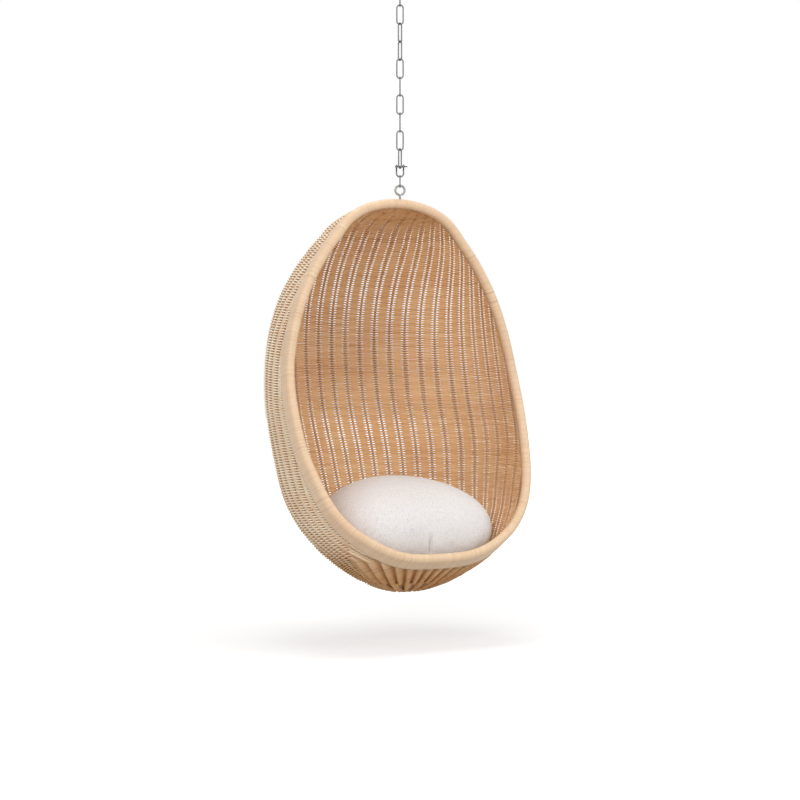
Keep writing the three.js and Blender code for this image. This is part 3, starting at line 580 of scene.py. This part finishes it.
def rattan(name, inner, outer, roughness, grain):
    """Rattan in dark, middle and light tones, by the strand's own shade, for the inner and the outer side;
    the inner side is darker and warmer as painted shade, the outer side paler as painted light.
    """
    n = material_nodes(name)
    place = n.coordinates()
    height = n.add("ShaderNodeSeparateXYZ", Vector=place).outputs["Z"]
    inside_tone, outside_tone = [
        n.ramp(n.attribute("shade"), [(0.0, dark), (0.5, middle), (1.0, light)])
        for dark, middle, light in (inner, outer)
    ]
    # How far the surface faces away from the line that the chair hangs on, less than nothing towards it
    level_place = n.vector_maths("MULTIPLY", "Vector", place, (1.0, 1.0, 0.0))
    facing = n.vector_maths("DOT_PRODUCT", "Value", level_place, n.coordinates("Normal"))
    is_outside = n.between(facing, -0.02, 0.08)
    # The outer tones fade in above the foot, so the foot keeps the darker inner tones as painted shade on the
    # underside
    pale = n.mix(n.between(height, SHELL_BOTTOM + 0.04, SHELL_BOTTOM + 0.2), inside_tone, outside_tone)
    # Painted light and shade: the outer side takes the paler tones and the inner side the darker, warmer ones
    tone = n.mix(is_outside, inside_tone, pale)
    # Painted shade: darker where the strand lies deep in the wall, seen from the side that the surface faces
    side = n.between(facing, -0.05, 0.05, -1.0, 1.0)
    raised = n.maths("MULTIPLY", side, n.attribute("reach"))
    level = n.maths("ADD", raised, n.maths("MULTIPLY_ADD", side, -0.35, 0.35))
    painted_crevice_shade = n.mix(is_outside, srgb(176, 124, 82), srgb(216, 190, 164))
    shaded = n.mix(n.between(level, -0.7, 0.6, 0.85, 0.0), tone, painted_crevice_shade, "MULTIPLY")
    # A little darker at the foot as painted shade on the underside, and in soft blotches and flecks
    low = n.between(height, SHELL_BOTTOM + 0.03, SHELL_BOTTOM + 0.17, 0.75, 0.0)
    shaded = n.mix(low, shaded, srgb(224, 206, 182), "MULTIPLY")
    blotch = n.between(n.noise(place, 9.0, 4.0), 0.35, 0.7, 0.0, 0.22)
    warm = n.mix(blotch, shaded, srgb(222, 172, 128), "MULTIPLY")
    fleck = n.between(n.noise(place, 140.0, 2.0), 0.55, 0.75, 0.0, 0.2)
    n.base(Base_Color=n.mix(fleck, warm, inner[0]), Roughness=roughness, Specular_IOR_Level=0.3)
    n.bump(n.noise(place, grain), 0.0002, 0.5)
    return n.owner


# The inner tones are darker and warmer as painted shade inside the shell, the outer tones paler as painted
# light
WEAVE = rattan("weave", (srgb(196, 144, 96), srgb(237, 195, 144), srgb(249, 219, 176)),
               (srgb(254, 218, 178), srgb(255, 244, 218), srgb(255, 250, 236)), 0.55, 700.0)
# The stake's inner tones are dark as painted shade where it shows between the rows
STAKE = rattan("stake", (srgb(150, 104, 64), srgb(196, 148, 104), srgb(222, 180, 136)),
               (srgb(186, 146, 106), srgb(226, 194, 158), srgb(242, 216, 184)), 0.5, 500.0)
FAN = rattan("fan", (srgb(206, 158, 112), srgb(236, 198, 152), srgb(246, 218, 180)),
             (srgb(186, 142, 100), srgb(222, 186, 146), srgb(238, 210, 176)), 0.5, 500.0)


def peel_material():
    n = material_nodes("peel")
    place = n.coordinates()
    tone = n.ramp(n.attribute("shade"), [(0.0, srgb(186, 146, 110)), (0.5, srgb(222, 191, 156)),
                                         (1.0, srgb(238, 212, 182))])
    blotch = n.between(n.noise(place, 6.0), 0.45, 0.7, 0.0, 0.4)
    pink = n.mix(blotch, tone, srgb(222, 184, 154))
    streak = n.between(n.noise(place, 60.0), 0.5, 0.8, 0.0, 0.25)
    lined = n.mix(streak, pink, srgb(214, 190, 148))
    n.base(Base_Color=lined, Roughness=0.42, Specular_IOR_Level=0.45)
    n.bump(n.noise(place, 400.0), 0.0002, 0.35)
    return n.owner


def steel_material(name, colour, roughness):
    n = material_nodes(name)
    place = n.coordinates()
    cloud = n.between(n.noise(place, 90.0, 4.0), 0.3, 0.75)
    tone = n.mix(cloud, colour, tuple(0.78 * c for c in colour))
    rough = n.between(n.noise(place, 260.0), 0.3, 0.7, roughness - 0.06, roughness + 0.08)
    n.base(Base_Color=tone, Metallic=0.9, Roughness=rough)
    n.bump(n.noise(place, 300.0, 2.0), 0.0001, 0.1)
    return n.owner


def cloth_material():
    """Off-white cloth with slubs of thread in two directions."""
    n = material_nodes("cushion_cloth")
    place = n.coordinates()
    threads = []
    for stretch in ((1.0, 0.22, 0.22), (0.22, 1.0, 1.0)):
        drawn = n.vector_maths("MULTIPLY", "Vector", place, stretch)
        threads.append(n.noise(drawn, 520.0, 2.0))
    cross = n.maths("ADD", *threads)
    tone = n.between(cross, 0.7, 1.1)
    pale = n.ramp(tone, [(0.0, srgb(205, 200, 198)), (1.0, srgb(227, 223, 221))])
    blotch = n.between(n.noise(place, 14.0), 0.4, 0.7, 0.0, 0.5)
    soft = n.mix(blotch, pale, srgb(222, 217, 215))
    fleck = n.between(n.noise(place, 420.0, 2.0), 0.58, 0.75, 0.0, 0.3)
    flecked = n.mix(fleck, soft, srgb(216, 210, 205))
    n.base(Base_Color=flecked, Roughness=0.95, Specular_IOR_Level=0.15, Sheen_Weight=0.15)
    n.bump(cross, 0.0006, 0.6)
    return n.owner


PEEL = peel_material()
STEEL = steel_material("galvanised_steel", (0.15, 0.147, 0.14), 0.3)
EYE_STEEL = steel_material("polished_steel", (0.25, 0.247, 0.24), 0.3)
TUBE_STEEL = steel_material("tube_steel", (0.5, 0.5, 0.51), 0.45)
CLOTH = cloth_material()


# The woven wall


def row_heights():
    """Heights of the rows, a row's pitch apart along the wall on average."""
    heights = np.linspace(ROW_TABLE_START, TOP_SHARE * SHELL_HEIGHT, ROW_TABLE_STEPS)
    half_width, half_depth, centre, _ = section_at(heights)
    lengths = []
    for reach in (half_width, half_depth + centre, half_depth - centre):
        lengths.append(np.hypot(np.diff(reach), np.diff(heights)))
    run = running_length(np.mean(lengths, axis=0))
    start = run[np.argmax(half_width > ROW_START_RADIUS)]
    return np.interp(np.arange(start, run[-1], ROW_PITCH), run, heights)


def smooth_noise(count, spacing, amount):
    """A wandering line of so many points, with a knot every spacing points."""
    knots = random.normal(0, amount, int(count / spacing) + 3)
    return np.interp(np.arange(count) / spacing, np.arange(len(knots)), knots)


def strand_reach(places, row, points, gaps):
    """How far the strand's middle stands outside the wall's middle."""
    nearest = np.round(places)
    beside = 1 - smooth_step(np.abs(places - nearest), OVER_START_SHARE, OVER_END_SHARE)
    over_under = WEAVE_REACH * beside * (1 - 2 * ((nearest + row) % 2))
    height = float(points[0, 2])
    _, half_depth, centre, _ = section_at(height)
    period = 1.0 if height > PLEAT_MERGE else 2.0
    fall = np.ceil(places / period) - places / period
    rest = 1 - PLEAT_FALL_SHARE
    pleat = np.where(fall < PLEAT_FALL_SHARE, 1 - fall / PLEAT_FALL_SHARE, (fall - PLEAT_FALL_SHARE) / rest)
    folded = WEAVE_REACH * (2 * PLEAT_REACH * pleat - PLEAT_REACH)
    front = smooth_step((centre - points[:, 1]) / half_depth, *PLEAT_FRONT)
    top = SIDE_PLEAT_TOP + (FRONT_PLEAT_TOP - SIDE_PLEAT_TOP) * front
    blend = 1 - smooth_step(height, top - PLEAT_FADE, top + PLEAT_FADE)
    reach = over_under * (1 - blend) + folded * blend
    limit = ROW_END_REACH + (WEAVE_LIMIT - ROW_END_REACH) * smooth_step(gaps, ROW_LEVEL_GAP, ROW_TAPER_GAP)
    return np.clip(reach, -limit, limit)


def row_places(ring):
    """A row's points, counted in stakes, and whether it runs all the way round."""
    first, last = -0.5, STAKE_COUNT - 0.5
    places = (np.arange(-1, STAKE_COUNT)[:, None] + np.array(STRAND_STATION_SHARES)).ravel()
    places = np.concatenate([[first], places[(places > first) & (places < last)], [last]])
    gaps = wall_gap(ring.points(stake_arcs(ring, places)))
    inside = gaps > ROW_END_GAP
    if inside.all():
        return places, True
    low = high = len(places) // 2
    if not inside[low]:
        return [], False
    while low > 0 and inside[low - 1]:
        low -= 1
    while high < len(places) - 1 and inside[high + 1]:
        high += 1
    ends = []
    for at, beyond in ((low, low - 1), (high, high + 1)):
        if 0 <= beyond < len(places) and gaps[beyond] > -OPENING_MARGIN:
            share = (gaps[at] - ROW_END_GAP) / max(gaps[at] - gaps[beyond], 1e-6)
            ends.append(places[at] + (places[beyond] - places[at]) * min(max(share, 0), 1))
        else:
            ends.append(places[at])
    places = np.concatenate([ends[:1], places[low:high + 1], ends[1:]])
    return places[np.concatenate([[True], np.diff(places) > ROW_LEAST_STEP])], False


def weave_row(tubes, row, height, spacing):
    """One strand round the shell, from rim to rim or all the way round."""
    ring = Ring(height)
    places, closed = row_places(ring)
    if len(places) < ROW_FEWEST_POINTS:
        return
    points = ring.points(stake_arcs(ring, places))
    outward = unit(gauge_slope(points))
    reach = strand_reach(places, row, points, wall_gap(points))
    reach = reach * (1 + smooth_noise(len(places), *STRAND_REACH_NOISE))
    path = points + unit(outward + np.array([0, 0, OVER_TILT])) * reach[:, None]
    path[:, 2] += smooth_noise(len(places), *STRAND_HEIGHT_NOISE)
    if closed:
        path[-1] = path[0]
        path = path[:-1]
        outward = outward[:-1]
    along = directions(path, closed)
    up = unit(np.cross(along, outward))
    across = np.cross(up, along)
    depth = reach[:len(path)] / WEAVE_REACH
    # The strand is flatter where it bends over a stake and narrowest between, and as tall as its row
    bent = np.minimum(np.abs(depth), 1)
    tall = STRAND_TALLNESS - STRAND_THINNING * bent - STRAND_NARROWING * 4 * bent * (1 - bent)
    steepness = np.sqrt(np.maximum(1 - outward[:, 2] ** 2, LEAST_STEEPNESS))
    tall = tall * np.clip(spacing / steepness / ROW_PITCH, *STRAND_STRETCH)
    rows = tube_rows(path, across, up * tall[:, None], STRAND_RADIUS, STRAND_SIDES, ends=not closed)
    tone = random.normal(*STRAND_TONE)
    if random.random() < DARK_STRAND_SHARE:
        tone -= DARK_STRAND_DROP
    tone = np.clip(tone, *STRAND_TONE_RANGE)
    shade = np.clip(tone + smooth_noise(len(rows), *STRAND_SHADE_NOISE), 0, 1)
    if not closed:
        depth = np.concatenate([depth[:1], depth, depth[-1:]])
    tubes.grid(on_shell(rows), shade, closed=closed, reach=depth)


def weave():
    heights = row_heights()
    spacings = np.gradient(heights)
    ends = [share * SHELL_HEIGHT for share in COURSE_END_SHARES]
    course = np.searchsorted(ends, heights)
    for number in range(len(COURSE_END_SHARES)):
        rows = np.flatnonzero(course == number)
        parts = max(int(math.ceil(len(rows) / ROWS_PER_PIECE)), 1)
        for part, members in enumerate(np.array_split(rows, parts)):
            tubes = Tubes()
            for row in members:
                weave_row(tubes, int(row), float(heights[row]), float(spacings[row]))
            name = f"woven_rows_{number + 1}_{'abcdefg'[part]}"
            put_on(tubes.piece(name, WEAVE), "chair", f"weave_course_{number + 1}")


def stakes():
    heights = np.append(row_heights()[::STAKE_ROWS], TOP_SHARE * SHELL_HEIGHT)
    rings = [Ring(float(height)) for height in heights]
    for index in range(STAKE_COUNT):
        points = np.concatenate([ring.points(stake_arcs(ring, [index])) for ring in rings])
        past = np.flatnonzero(wall_gap(points) < TUBE_RADIUS + STAKE_RADIUS * STAKE_END_SHARE)
        stop = past[0] if len(past) else len(points)
        path = points[:stop]
        outward = unit(gauge_slope(path))
        along = directions(path)
        across = unit(np.cross(along, outward))
        tubes = Tubes()
        tone = np.clip(random.normal(*STAKE_TONE), 0, 1)
        rows = tube_rows(path, across, np.cross(across, along), STAKE_RADIUS, STAKE_SIDES)
        tubes.grid(on_shell(rows), tone + smooth_noise(len(rows), *STAKE_SHADE_NOISE))
        name = f"stake_{index + 1:02d}"
        put_on(tubes.piece("rattan_" + name, STAKE), "chair", name)


def base_fan():
    """The stakes' ends gathered under the seat, bent down side by side."""
    start = float(row_heights()[0])
    ring = Ring(start)
    points = ring.points(stake_arcs(ring, np.arange(STAKE_COUNT)))
    centre = np.array([0, float(section_at(start)[2]), 0])
    shares = np.linspace(0, 1, FAN_STEPS)
    tubes = Tubes()
    for point in points:
        away = unit((point - centre) * np.array([1, 1, 0]))
        path = point + (centre + away * FAN_RADIUS - point) * shares[:, None]
        path[:, 2] = start * (1 - shares) ** FAN_BEND_POWER + FAN_LIFT
        drop = np.repeat((centre + away * (FAN_RADIUS - FAN_INSET))[None], 2, axis=0)
        drop[:, 2] = np.negative(FAN_DROPS)
        drop[1, 2] += random.uniform(-FAN_DROP_SPREAD, FAN_DROP_SPREAD)
        path = np.concatenate([path, drop])
        radius = np.linspace(STAKE_RADIUS, FAN_END_RADIUS, len(path))
        across = np.repeat([[-away[1], away[0], 0]], len(path), axis=0)
        up = unit(np.cross(across, directions(path)))
        rows = tube_rows(path, across, up, radius, STAKE_SIDES)
        tubes.grid(on_shell(rows), np.clip(random.normal(*FAN_TONE), 0, 1))
    put_on(tubes.piece("base_fan", FAN), "chair", "base_knot")


# The rim


def binding_arc(radius, steps):
    angles = np.linspace(*BINDING_ARC, steps)
    return [(radius * math.cos(angle), radius * math.sin(angle)) for angle in angles]


def binding():
    """The peel wound round the rim's tube and through the wall's edge."""
    step = BINDING_TURN / BINDING_STEPS
    centres, outward, inward = rim_line(step)
    count = len(centres)
    turns = int(round(count / BINDING_STEPS))
    outer = BINDING_OUTER_FLANGE + binding_arc(BINDING_OUTSIDE, BINDING_OUTER_STEPS) + BINDING_OUTER_TAIL
    inner = BINDING_INNER_TAIL + binding_arc(BINDING_INSIDE, BINDING_INNER_STEPS)[::-1] + BINDING_INNER_FLANGE
    share = np.concatenate([np.linspace(0, 1, len(outer)), np.linspace(1, 0, len(inner))])
    offset = share * BINDING_TURN / step
    station = np.arange(count)
    grid = np.zeros((count, len(outer + inner), 3))
    for j, (into, out) in enumerate(outer + inner):
        at = station + offset[j]
        low = np.floor(at).astype(int) % count
        high = (low + 1) % count
        part = (at - np.floor(at))[:, None]
        centre = centres[low] * (1 - part) + centres[high] * part
        away = unit(outward[low] * (1 - part) + outward[high] * part)
        inside = unit(inward[low] * (1 - part) + inward[high] * part)
        # The groove between turns is drawn in towards the tube, or straight in on the flat flange
        lift = BINDING_RELIEF[station % BINDING_STEPS] * (j < len(outer))
        if into < BINDING_ROUND_REACH:
            scale_into, scale_out = into / math.hypot(into, out), out / math.hypot(into, out)
        else:
            scale_into, scale_out = 0, math.copysign(1, out)
        grid[:, j] = centre + inside * (into + lift * scale_into)[:, None]
        grid[:, j] += away * (out + lift * scale_out)[:, None]
    tones = np.clip(random.normal(*BINDING_TONE, turns + 1), *BINDING_TONE_RANGE)
    tones[random.random(turns + 1) < DARK_TURN_SHARE] -= DARK_TURN_DROP
    # Painted shade in the grooves between turns
    groove = BINDING_GROOVE_PAINTED_SHADE[station % BINDING_STEPS]
    shade = np.clip(tones[station // BINDING_STEPS] + groove, 0, 1)
    tubes = Tubes()
    tubes.grid(on_shell(grid), shade, closed=True)
    put_on(tubes.piece("rim_binding", PEEL), "chair", "rim_wrap")


# Steel fittings

HANG_TURN = -30
LINK_TURNS = [90, 0, 60, 120, 0, 90, 0, 90, 0, 65]
LINK_WIRE = 0.0045
LINK_WIDTH = 0.025
CONNECTOR_WIRE = 0.004
CONNECTOR_WIDTH = 0.02
CONNECTOR_TURN = 90
SHACKLE_WIRE = 0.005
SHACKLE_WIDTH = 0.028
EAR_DIAMETER = 0.013
EAR_THICKNESS = 0.005
EAR_BEVEL = 0.0007
EAR_LEG_SHARE = 0.4
PIN_HOLE_RADIUS = 0.0033
PIN_GAP = 0.0003
LOOP_WIRE = 0.008
LOOP_WIDTH = 0.034

# The pin's ends in pairs of reach past the ears and radius, and its flat head
PIN_LEFT_END = [(-0.002, 0.0001), (-0.002, 0.0024), (-0.0014, 0.003)]
PIN_RIGHT_END = [(0.0012, 0.003), (0.0016, 0.0026), (0.0024, 0.0001)]
PIN_HEAD_RADIUS = 0.005
PIN_HEAD_HOLE = 0.002
PIN_HEAD_THICKNESS = 0.003
PIN_HEAD_BEVEL = 0.0005

# The screw eye, with its neck in pairs of place across and drop below the ring, and its foot's heights
EYE_WIRE = 0.007
EYE_DIAMETER = 0.037
EYE_START_DEGREES = -74
EYE_END_DEGREES = 262
EYE_NECK = [(-0.0004, 0.0022), (0, 0.006), (0, 0.014)]
EYE_FOOT_HEIGHTS = [0.004, 0.0005]


def wire_rows(path, radius, sides, closed=False):
    """Rings of points round a bent wire whose path lies square to Y."""
    side = np.repeat([[0.0, 1.0, 0.0]], len(path), axis=0)
    up = unit(np.cross(side, directions(path, closed)))
    return tube_rows(path, side, up, radius, sides, ends=not closed)


def put_turned(name, grids, turn, body, node, material=STEEL):
    """Makes a steel piece of grids, each open or closed, turned about the line that the chair hangs on."""
    tubes = Tubes()
    for rows, closed in grids:
        tubes.grid(rows, 0.5, closed=closed)
    piece = tubes.piece(name, material)
    angle = math.radians(turn)
    x, y, z = mesh_places(piece.data).T
    turned = [x * math.cos(angle) - y * math.sin(angle), x * math.sin(angle) + y * math.cos(angle), z]
    set_places(piece.data, np.stack(turned, axis=1))
    put_on(piece, body, node)


def arc_path(bend, middle, start, end, steps):
    """Points on an arc in the XZ plane."""
    angle = np.linspace(start, end, steps)
    return np.stack([bend * np.cos(angle), 0 * angle, middle + bend * np.sin(angle)], axis=1)


def hanging_bow(bend, middle, leg_top, steps):
    """The path of a U whose legs point up."""
    bow = arc_path(bend, middle, math.pi, 2 * math.pi, steps)
    return np.concatenate([[[-bend, 0, leg_top]], bow, [[bend, 0, leg_top]]])


def oval_link(name, node, wire_diameter, width, turn):
    low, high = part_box(node)
    bend = (width - wire_diameter) / 2
    straight = (high[2] - low[2]) - wire_diameter - 2 * bend
    middle = (low[2] + high[2]) / 2
    top = arc_path(bend, middle + straight / 2, 0, math.pi, steps=15)
    foot = arc_path(bend, middle - straight / 2, math.pi, 2 * math.pi, steps=15)
    rows = wire_rows(np.concatenate([top, foot]), wire_diameter / 2, sides=16, closed=True)
    put_turned(name, [(rows, True)], turn + HANG_TURN, node, node)


def washer(x, height, outer, bore, thickness, bevel, upright=False):
    """A bored disc as a closed grid. Its axis lies along X, or along Z where upright is set."""
    half = thickness / 2
    profile = [(bore, -half + bevel), (bore + bevel, -half), (outer - bevel, -half), (outer, -half + bevel),
               (outer, half - bevel), (outer - bevel, half), (bore + bevel, half), (bore, half - bevel)]
    sides = 40
    angle = 2 * math.pi * np.arange(sides) / sides
    rows = []
    for radius, axial in profile:
        along, across, level = axial + 0 * angle, radius * np.cos(angle), radius * np.sin(angle)
        if upright:
            rows.append(np.stack([x + across, level, height + along], axis=1))
        else:
            rows.append(np.stack([x + along, across, height + level], axis=1))
    return np.array(rows)


def shackle():
    low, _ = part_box("shackle_bow")
    pin_low, pin_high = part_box("shackle_pin")
    pin = (pin_low[2] + pin_high[2]) / 2
    bend = (SHACKLE_WIDTH - SHACKLE_WIRE) / 2
    middle = low[2] + SHACKLE_WIRE / 2 + bend
    path = hanging_bow(bend, middle, pin - EAR_DIAMETER * EAR_LEG_SHARE, steps=19)
    grids = [(wire_rows(path, SHACKLE_WIRE / 2, sides=16), False)]
    for x in (-bend, bend):
        ear = washer(x, pin, EAR_DIAMETER / 2, PIN_HOLE_RADIUS, EAR_THICKNESS, EAR_BEVEL)
        grids.append((ear, True))
    put_turned("shackle_bow_smooth", grids, HANG_TURN, "shackle", "shackle_bow")
    ears = bend + EAR_THICKNESS / 2
    stations = [(reach - ears, radius) for reach, radius in PIN_LEFT_END]
    stations += [(reach + ears, radius) for reach, radius in PIN_RIGHT_END]
    path = np.array([[x, 0, pin] for x, _ in stations])
    side = np.repeat([[0.0, 1.0, 0.0]], len(path), axis=0)
    up = np.repeat([[0.0, 0.0, 1.0]], len(path), axis=0)
    rod = tube_rows(path, side, up, [radius for _, radius in stations], sides=24, ends=False)
    head = washer(ears + PIN_GAP + PIN_HEAD_RADIUS, pin, PIN_HEAD_RADIUS, PIN_HEAD_HOLE, PIN_HEAD_THICKNESS,
                  PIN_HEAD_BEVEL, upright=True)
    put_turned("shackle_pin_smooth", [(rod, False), (head, True)], HANG_TURN, "shackle", "shackle_pin")


def screw_eye():
    low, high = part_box("screw_eye")
    bend = (EYE_DIAMETER - EYE_WIRE) / 2
    middle = high[2] - EYE_DIAMETER / 2
    start, end = math.radians(EYE_START_DEGREES), math.radians(EYE_END_DEGREES)
    ring = arc_path(bend, middle, start, end, steps=44)
    neck = [[x, 0, middle - bend - drop] for x, drop in EYE_NECK]
    foot = [[0, 0, low[2] + height] for height in EYE_FOOT_HEIGHTS]
    path = np.concatenate([ring, neck, foot])
    radius = np.full(len(path), EYE_WIRE / 2)
    radius[-1] = EYE_WIRE / 5
    rows = wire_rows(path, radius, sides=18)
    put_turned("screw_eye_smooth", [(rows, False)], HANG_TURN, "chair", "screw_eye", EYE_STEEL)


def ceiling_loop():
    low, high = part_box("ceiling_loop")
    bend = (LOOP_WIDTH - LOOP_WIRE) / 2
    path = hanging_bow(bend, low[2] + LOOP_WIRE / 2 + bend, high[2], steps=21)
    rows = wire_rows(path, LOOP_WIRE / 2, sides=18)
    put_turned("ceiling_loop_smooth", [(rows, False)], HANG_TURN, "ceiling_mount", "ceiling_loop")


def fittings():
    for number, turn in enumerate(LINK_TURNS, 1):
        node = f"chain_link_{number:02d}"
        oval_link(node + "_smooth", node, LINK_WIRE, LINK_WIDTH, turn)
    oval_link("connecting_link_smooth", "connecting_link", CONNECTOR_WIRE, CONNECTOR_WIDTH, CONNECTOR_TURN)
    shackle()
    screw_eye()
    ceiling_loop()
    for node, material in (("ceiling_plate", STEEL), ("rim_pole", TUBE_STEEL)):
        data = frame["nodes"][node].data
        data.materials.clear()
        data.materials.append(material)


# The seat cushion

CUSHION_VOXEL = 0.0065
CUSHION_FIRST_SMOOTHING = 16
CUSHION_LAST_SMOOTHING = 45
CUSHION_START_INSET = 0.003
CUSHION_CAP = 0.028
CUSHION_WALL = 0.0092
CUSHION_WALL_ROUNDS = 3
CUSHION_FRAMES = 20
CUSHION_CLOTH = {
    "quality": 5,
    "mass": 0.15,
    "tension_stiffness": 12,
    "compression_stiffness": 12,
    "shear_stiffness": 6,
    "bending_stiffness": 0.6,
    "use_pressure": True,
    "uniform_pressure_force": 4,
}

# The tucks, in pairs of direction and depth, round a line behind the shell's middle
TUCKS = [(182.5, 0.013), (116, 0.012)]
TUCK_SET_BACK = 0.06
TUCK_START = 0.1
TUCK_WIDTH = 0.0055
TUCK_FOOT = (0.11, 0.15)
TUCK_TOP = (0.165, 0.205)
TUCK_FALL = 0.4


def apply_modifier(piece, kind, **settings):
    """Adds a modifier to the active object, sets it and applies it."""
    modifier = piece.modifiers.new(kind.lower(), kind)
    for key, value in settings.items():
        setattr(modifier, key, value)
    bpy.ops.object.modifier_apply(modifier=modifier.name)


def swell(pad):
    """Lets the cover swell as cloth under pressure, where no point moves further than the cap."""
    start = mesh_places(pad.data)
    cloth = pad.modifiers.new("cloth", "CLOTH")
    for key, value in CUSHION_CLOTH.items():
        setattr(cloth.settings, key, value)
    cloth.settings.effector_weights.gravity = 0
    cloth.point_cache.frame_start = 1
    cloth.point_cache.frame_end = CUSHION_FRAMES
    for number in range(1, CUSHION_FRAMES + 1):
        bpy.context.scene.frame_set(number)
    bpy.ops.object.modifier_apply(modifier=cloth.name)
    bpy.context.scene.frame_set(1)
    move = mesh_places(pad.data) - start
    length = np.linalg.norm(move, axis=1, keepdims=True)
    set_places(pad.data, start + move * np.minimum(1, CUSHION_CAP / np.maximum(length, 1e-9)))


def keep_in_bowl(places):
    """Pushes points of the cushion off the wall that it rests in."""
    local = places - np.array([0, 0, SHELL_BOTTOM])
    for _ in range(CUSHION_WALL_ROUNDS):
        slope = gauge_slope(local)
        steepness = np.linalg.norm(slope, axis=1)
        distance = (1 - gauge(local)) / steepness
        push = np.maximum(CUSHION_WALL - distance, 0)
        local = local - slope / steepness[:, None] * push[:, None]
    return on_shell(local)


def tuck(places):
    """Draws the cover in at the tucks."""
    for degrees, depth in TUCKS:
        angle = math.radians(degrees)
        out = np.array([math.sin(angle), math.cos(angle)])
        flat = places[:, :2] - np.array([0, TUCK_SET_BACK])
        beside = flat @ np.array([out[1], -out[0]])
        height = places[:, 2] - SHELL_BOTTOM
        near = np.exp(-(beside / TUCK_WIDTH) ** 2) * (flat @ out > TUCK_START)
        near *= smooth_step(height, *TUCK_FOOT) * (1 - smooth_step(height, *TUCK_TOP))
        places = places - np.column_stack([out[0] * near, out[1] * near, TUCK_FALL * near]) * depth
    return places


def cushion():
    mesh = frame["nodes"]["seat_cushion"].data.copy()
    mesh.name = "cushion_pad"
    mesh.materials.clear()
    mesh.materials.append(CLOTH)
    pad = add_object("cushion_pad", mesh)
    bpy.ops.object.select_all(action="DESELECT")
    pad.select_set(True)
    bpy.context.view_layer.objects.active = pad
    apply_modifier(pad, "REMESH", mode="VOXEL", voxel_size=CUSHION_VOXEL)
    apply_modifier(pad, "SMOOTH", factor=0.5, iterations=CUSHION_FIRST_SMOOTHING)
    normals = mesh_places(pad.data, "normal")
    set_places(pad.data, mesh_places(pad.data) - normals * CUSHION_START_INSET)
    swell(pad)
    apply_modifier(pad, "SMOOTH", factor=0.5, iterations=CUSHION_LAST_SMOOTHING)
    set_places(pad.data, keep_in_bowl(mesh_places(pad.data)))
    apply_modifier(pad, "SUBSURF", levels=1, render_levels=1)
    set_places(pad.data, tuck(mesh_places(pad.data)))
    pad.data.polygons.foreach_set("use_smooth", np.ones(len(pad.data.polygons), bool))
    put_on(pad, "cushion", "seat_cushion")


# The floor, the light and the camera

CAMERA_AZIMUTH = -30
CAMERA_DISTANCE = 5.5
CAMERA_ABOVE_BOTTOM = 0.6126
CAMERA_LENS = 76.2
FLOOR_DROP = 0.17
FLOOR_HALF_SIZE = 60
FLOOR_GREY = 0.6
FLOOR_GLOW = 0.44
FLOOR_FADE = (0.9, 2.4)
WORLD_FILL = 0.56

# Each lamp's place, size and power
LAMPS = {
    "key": ((-4.0, -3.6, 1.3), 2.6, 108),
    "front": ((-1.6, -5.2, 0.2), 3.0, 46),
    "side": ((3.6, -3.6, 1.4), 2.6, 78),
    "top": ((0.0, 0.4, 3.2), 2.6, 84),
}
LAMP_TARGET = (0, 0, SHELL_BOTTOM + 0.6)


def stage():
    """A pale floor that keeps the shadow near the object and is plain white further off."""
    n = material_nodes("floor")
    n.base(Base_Color=(FLOOR_GREY, FLOOR_GREY, FLOOR_GREY, 1), Roughness=0.9, Specular_IOR_Level=0.0)
    path = n.add("ShaderNodeLightPath").outputs
    seen = n.maths("MAXIMUM", path["Is Camera Ray"], path["Is Glossy Ray"])
    away = n.vector_maths("LENGTH", "Value", n.coordinates())
    strength = n.maths("MULTIPLY", seen, n.between(away, *FLOOR_FADE, FLOOR_GLOW, 1.0))
    glow = n.add("ShaderNodeEmission", Strength=strength).outputs[0]
    both = n.join("ShaderNodeAddShader", {}, n.shader.outputs[0], glow)[0]
    n.set(n.tree.nodes["Material Output"], "Surface", both)
    half = FLOOR_HALF_SIZE
    corners = [(-half, -half, 0), (half, -half, 0), (half, half, 0), (-half, half, 0)]
    floor = add_mesh("floor", corners, [(0, 1, 2, 3)], n.owner, smooth=False)
    floor.location.z = SHELL_BOTTOM - FLOOR_DROP


def world():
    """White where it is seen, mirrored or looked through to, and an even fill for the object."""
    n = Nodes(bpy.data.worlds.new("studio"))
    bpy.context.scene.world = n.owner
    n.tree.nodes.clear()
    path = n.add("ShaderNodeLightPath").outputs
    seen = n.maths("MAXIMUM", path["Is Camera Ray"], path["Is Glossy Ray"])
    seen = n.maths("MAXIMUM", seen, path["Is Transmission Ray"])
    fill, white = [
        n.add("ShaderNodeBackground", Color=(1, 1, 1, 1), Strength=strength).outputs[0]
        for strength in (WORLD_FILL, 1.0)
    ]
    either = n.join("ShaderNodeMixShader", {}, seen, fill, white)[0]
    n.add("ShaderNodeOutputWorld", Surface=either)


def lights():
    for name, (place, size, power) in LAMPS.items():
        data = bpy.data.lights.new(name, "AREA")
        data.size = size
        data.energy = power
        lamp = add_object(name, data)
        lamp.location = place
        lamp.rotation_euler = (Vector(LAMP_TARGET) - Vector(place)).to_track_quat("-Z", "Y").to_euler()


def camera():
    data = bpy.data.cameras.new("camera")
    data.lens = CAMERA_LENS
    data.sensor_width = 36
    data.clip_end = 100
    viewer = add_object("camera", data)
    angle = math.radians(CAMERA_AZIMUTH)
    viewer.location = (
        CAMERA_DISTANCE * math.sin(angle),
        -CAMERA_DISTANCE * math.cos(angle),
        SHELL_BOTTOM + CAMERA_ABOVE_BOTTOM,
    )
    viewer.rotation_euler = (math.pi / 2, 0, angle)
    bpy.context.scene.camera = viewer


bpy.context.scene.view_settings.view_transform = "Standard"
camera()
stage()
world()
lights()
weave()
stakes()
base_fan()
binding()
fittings()
cushion()
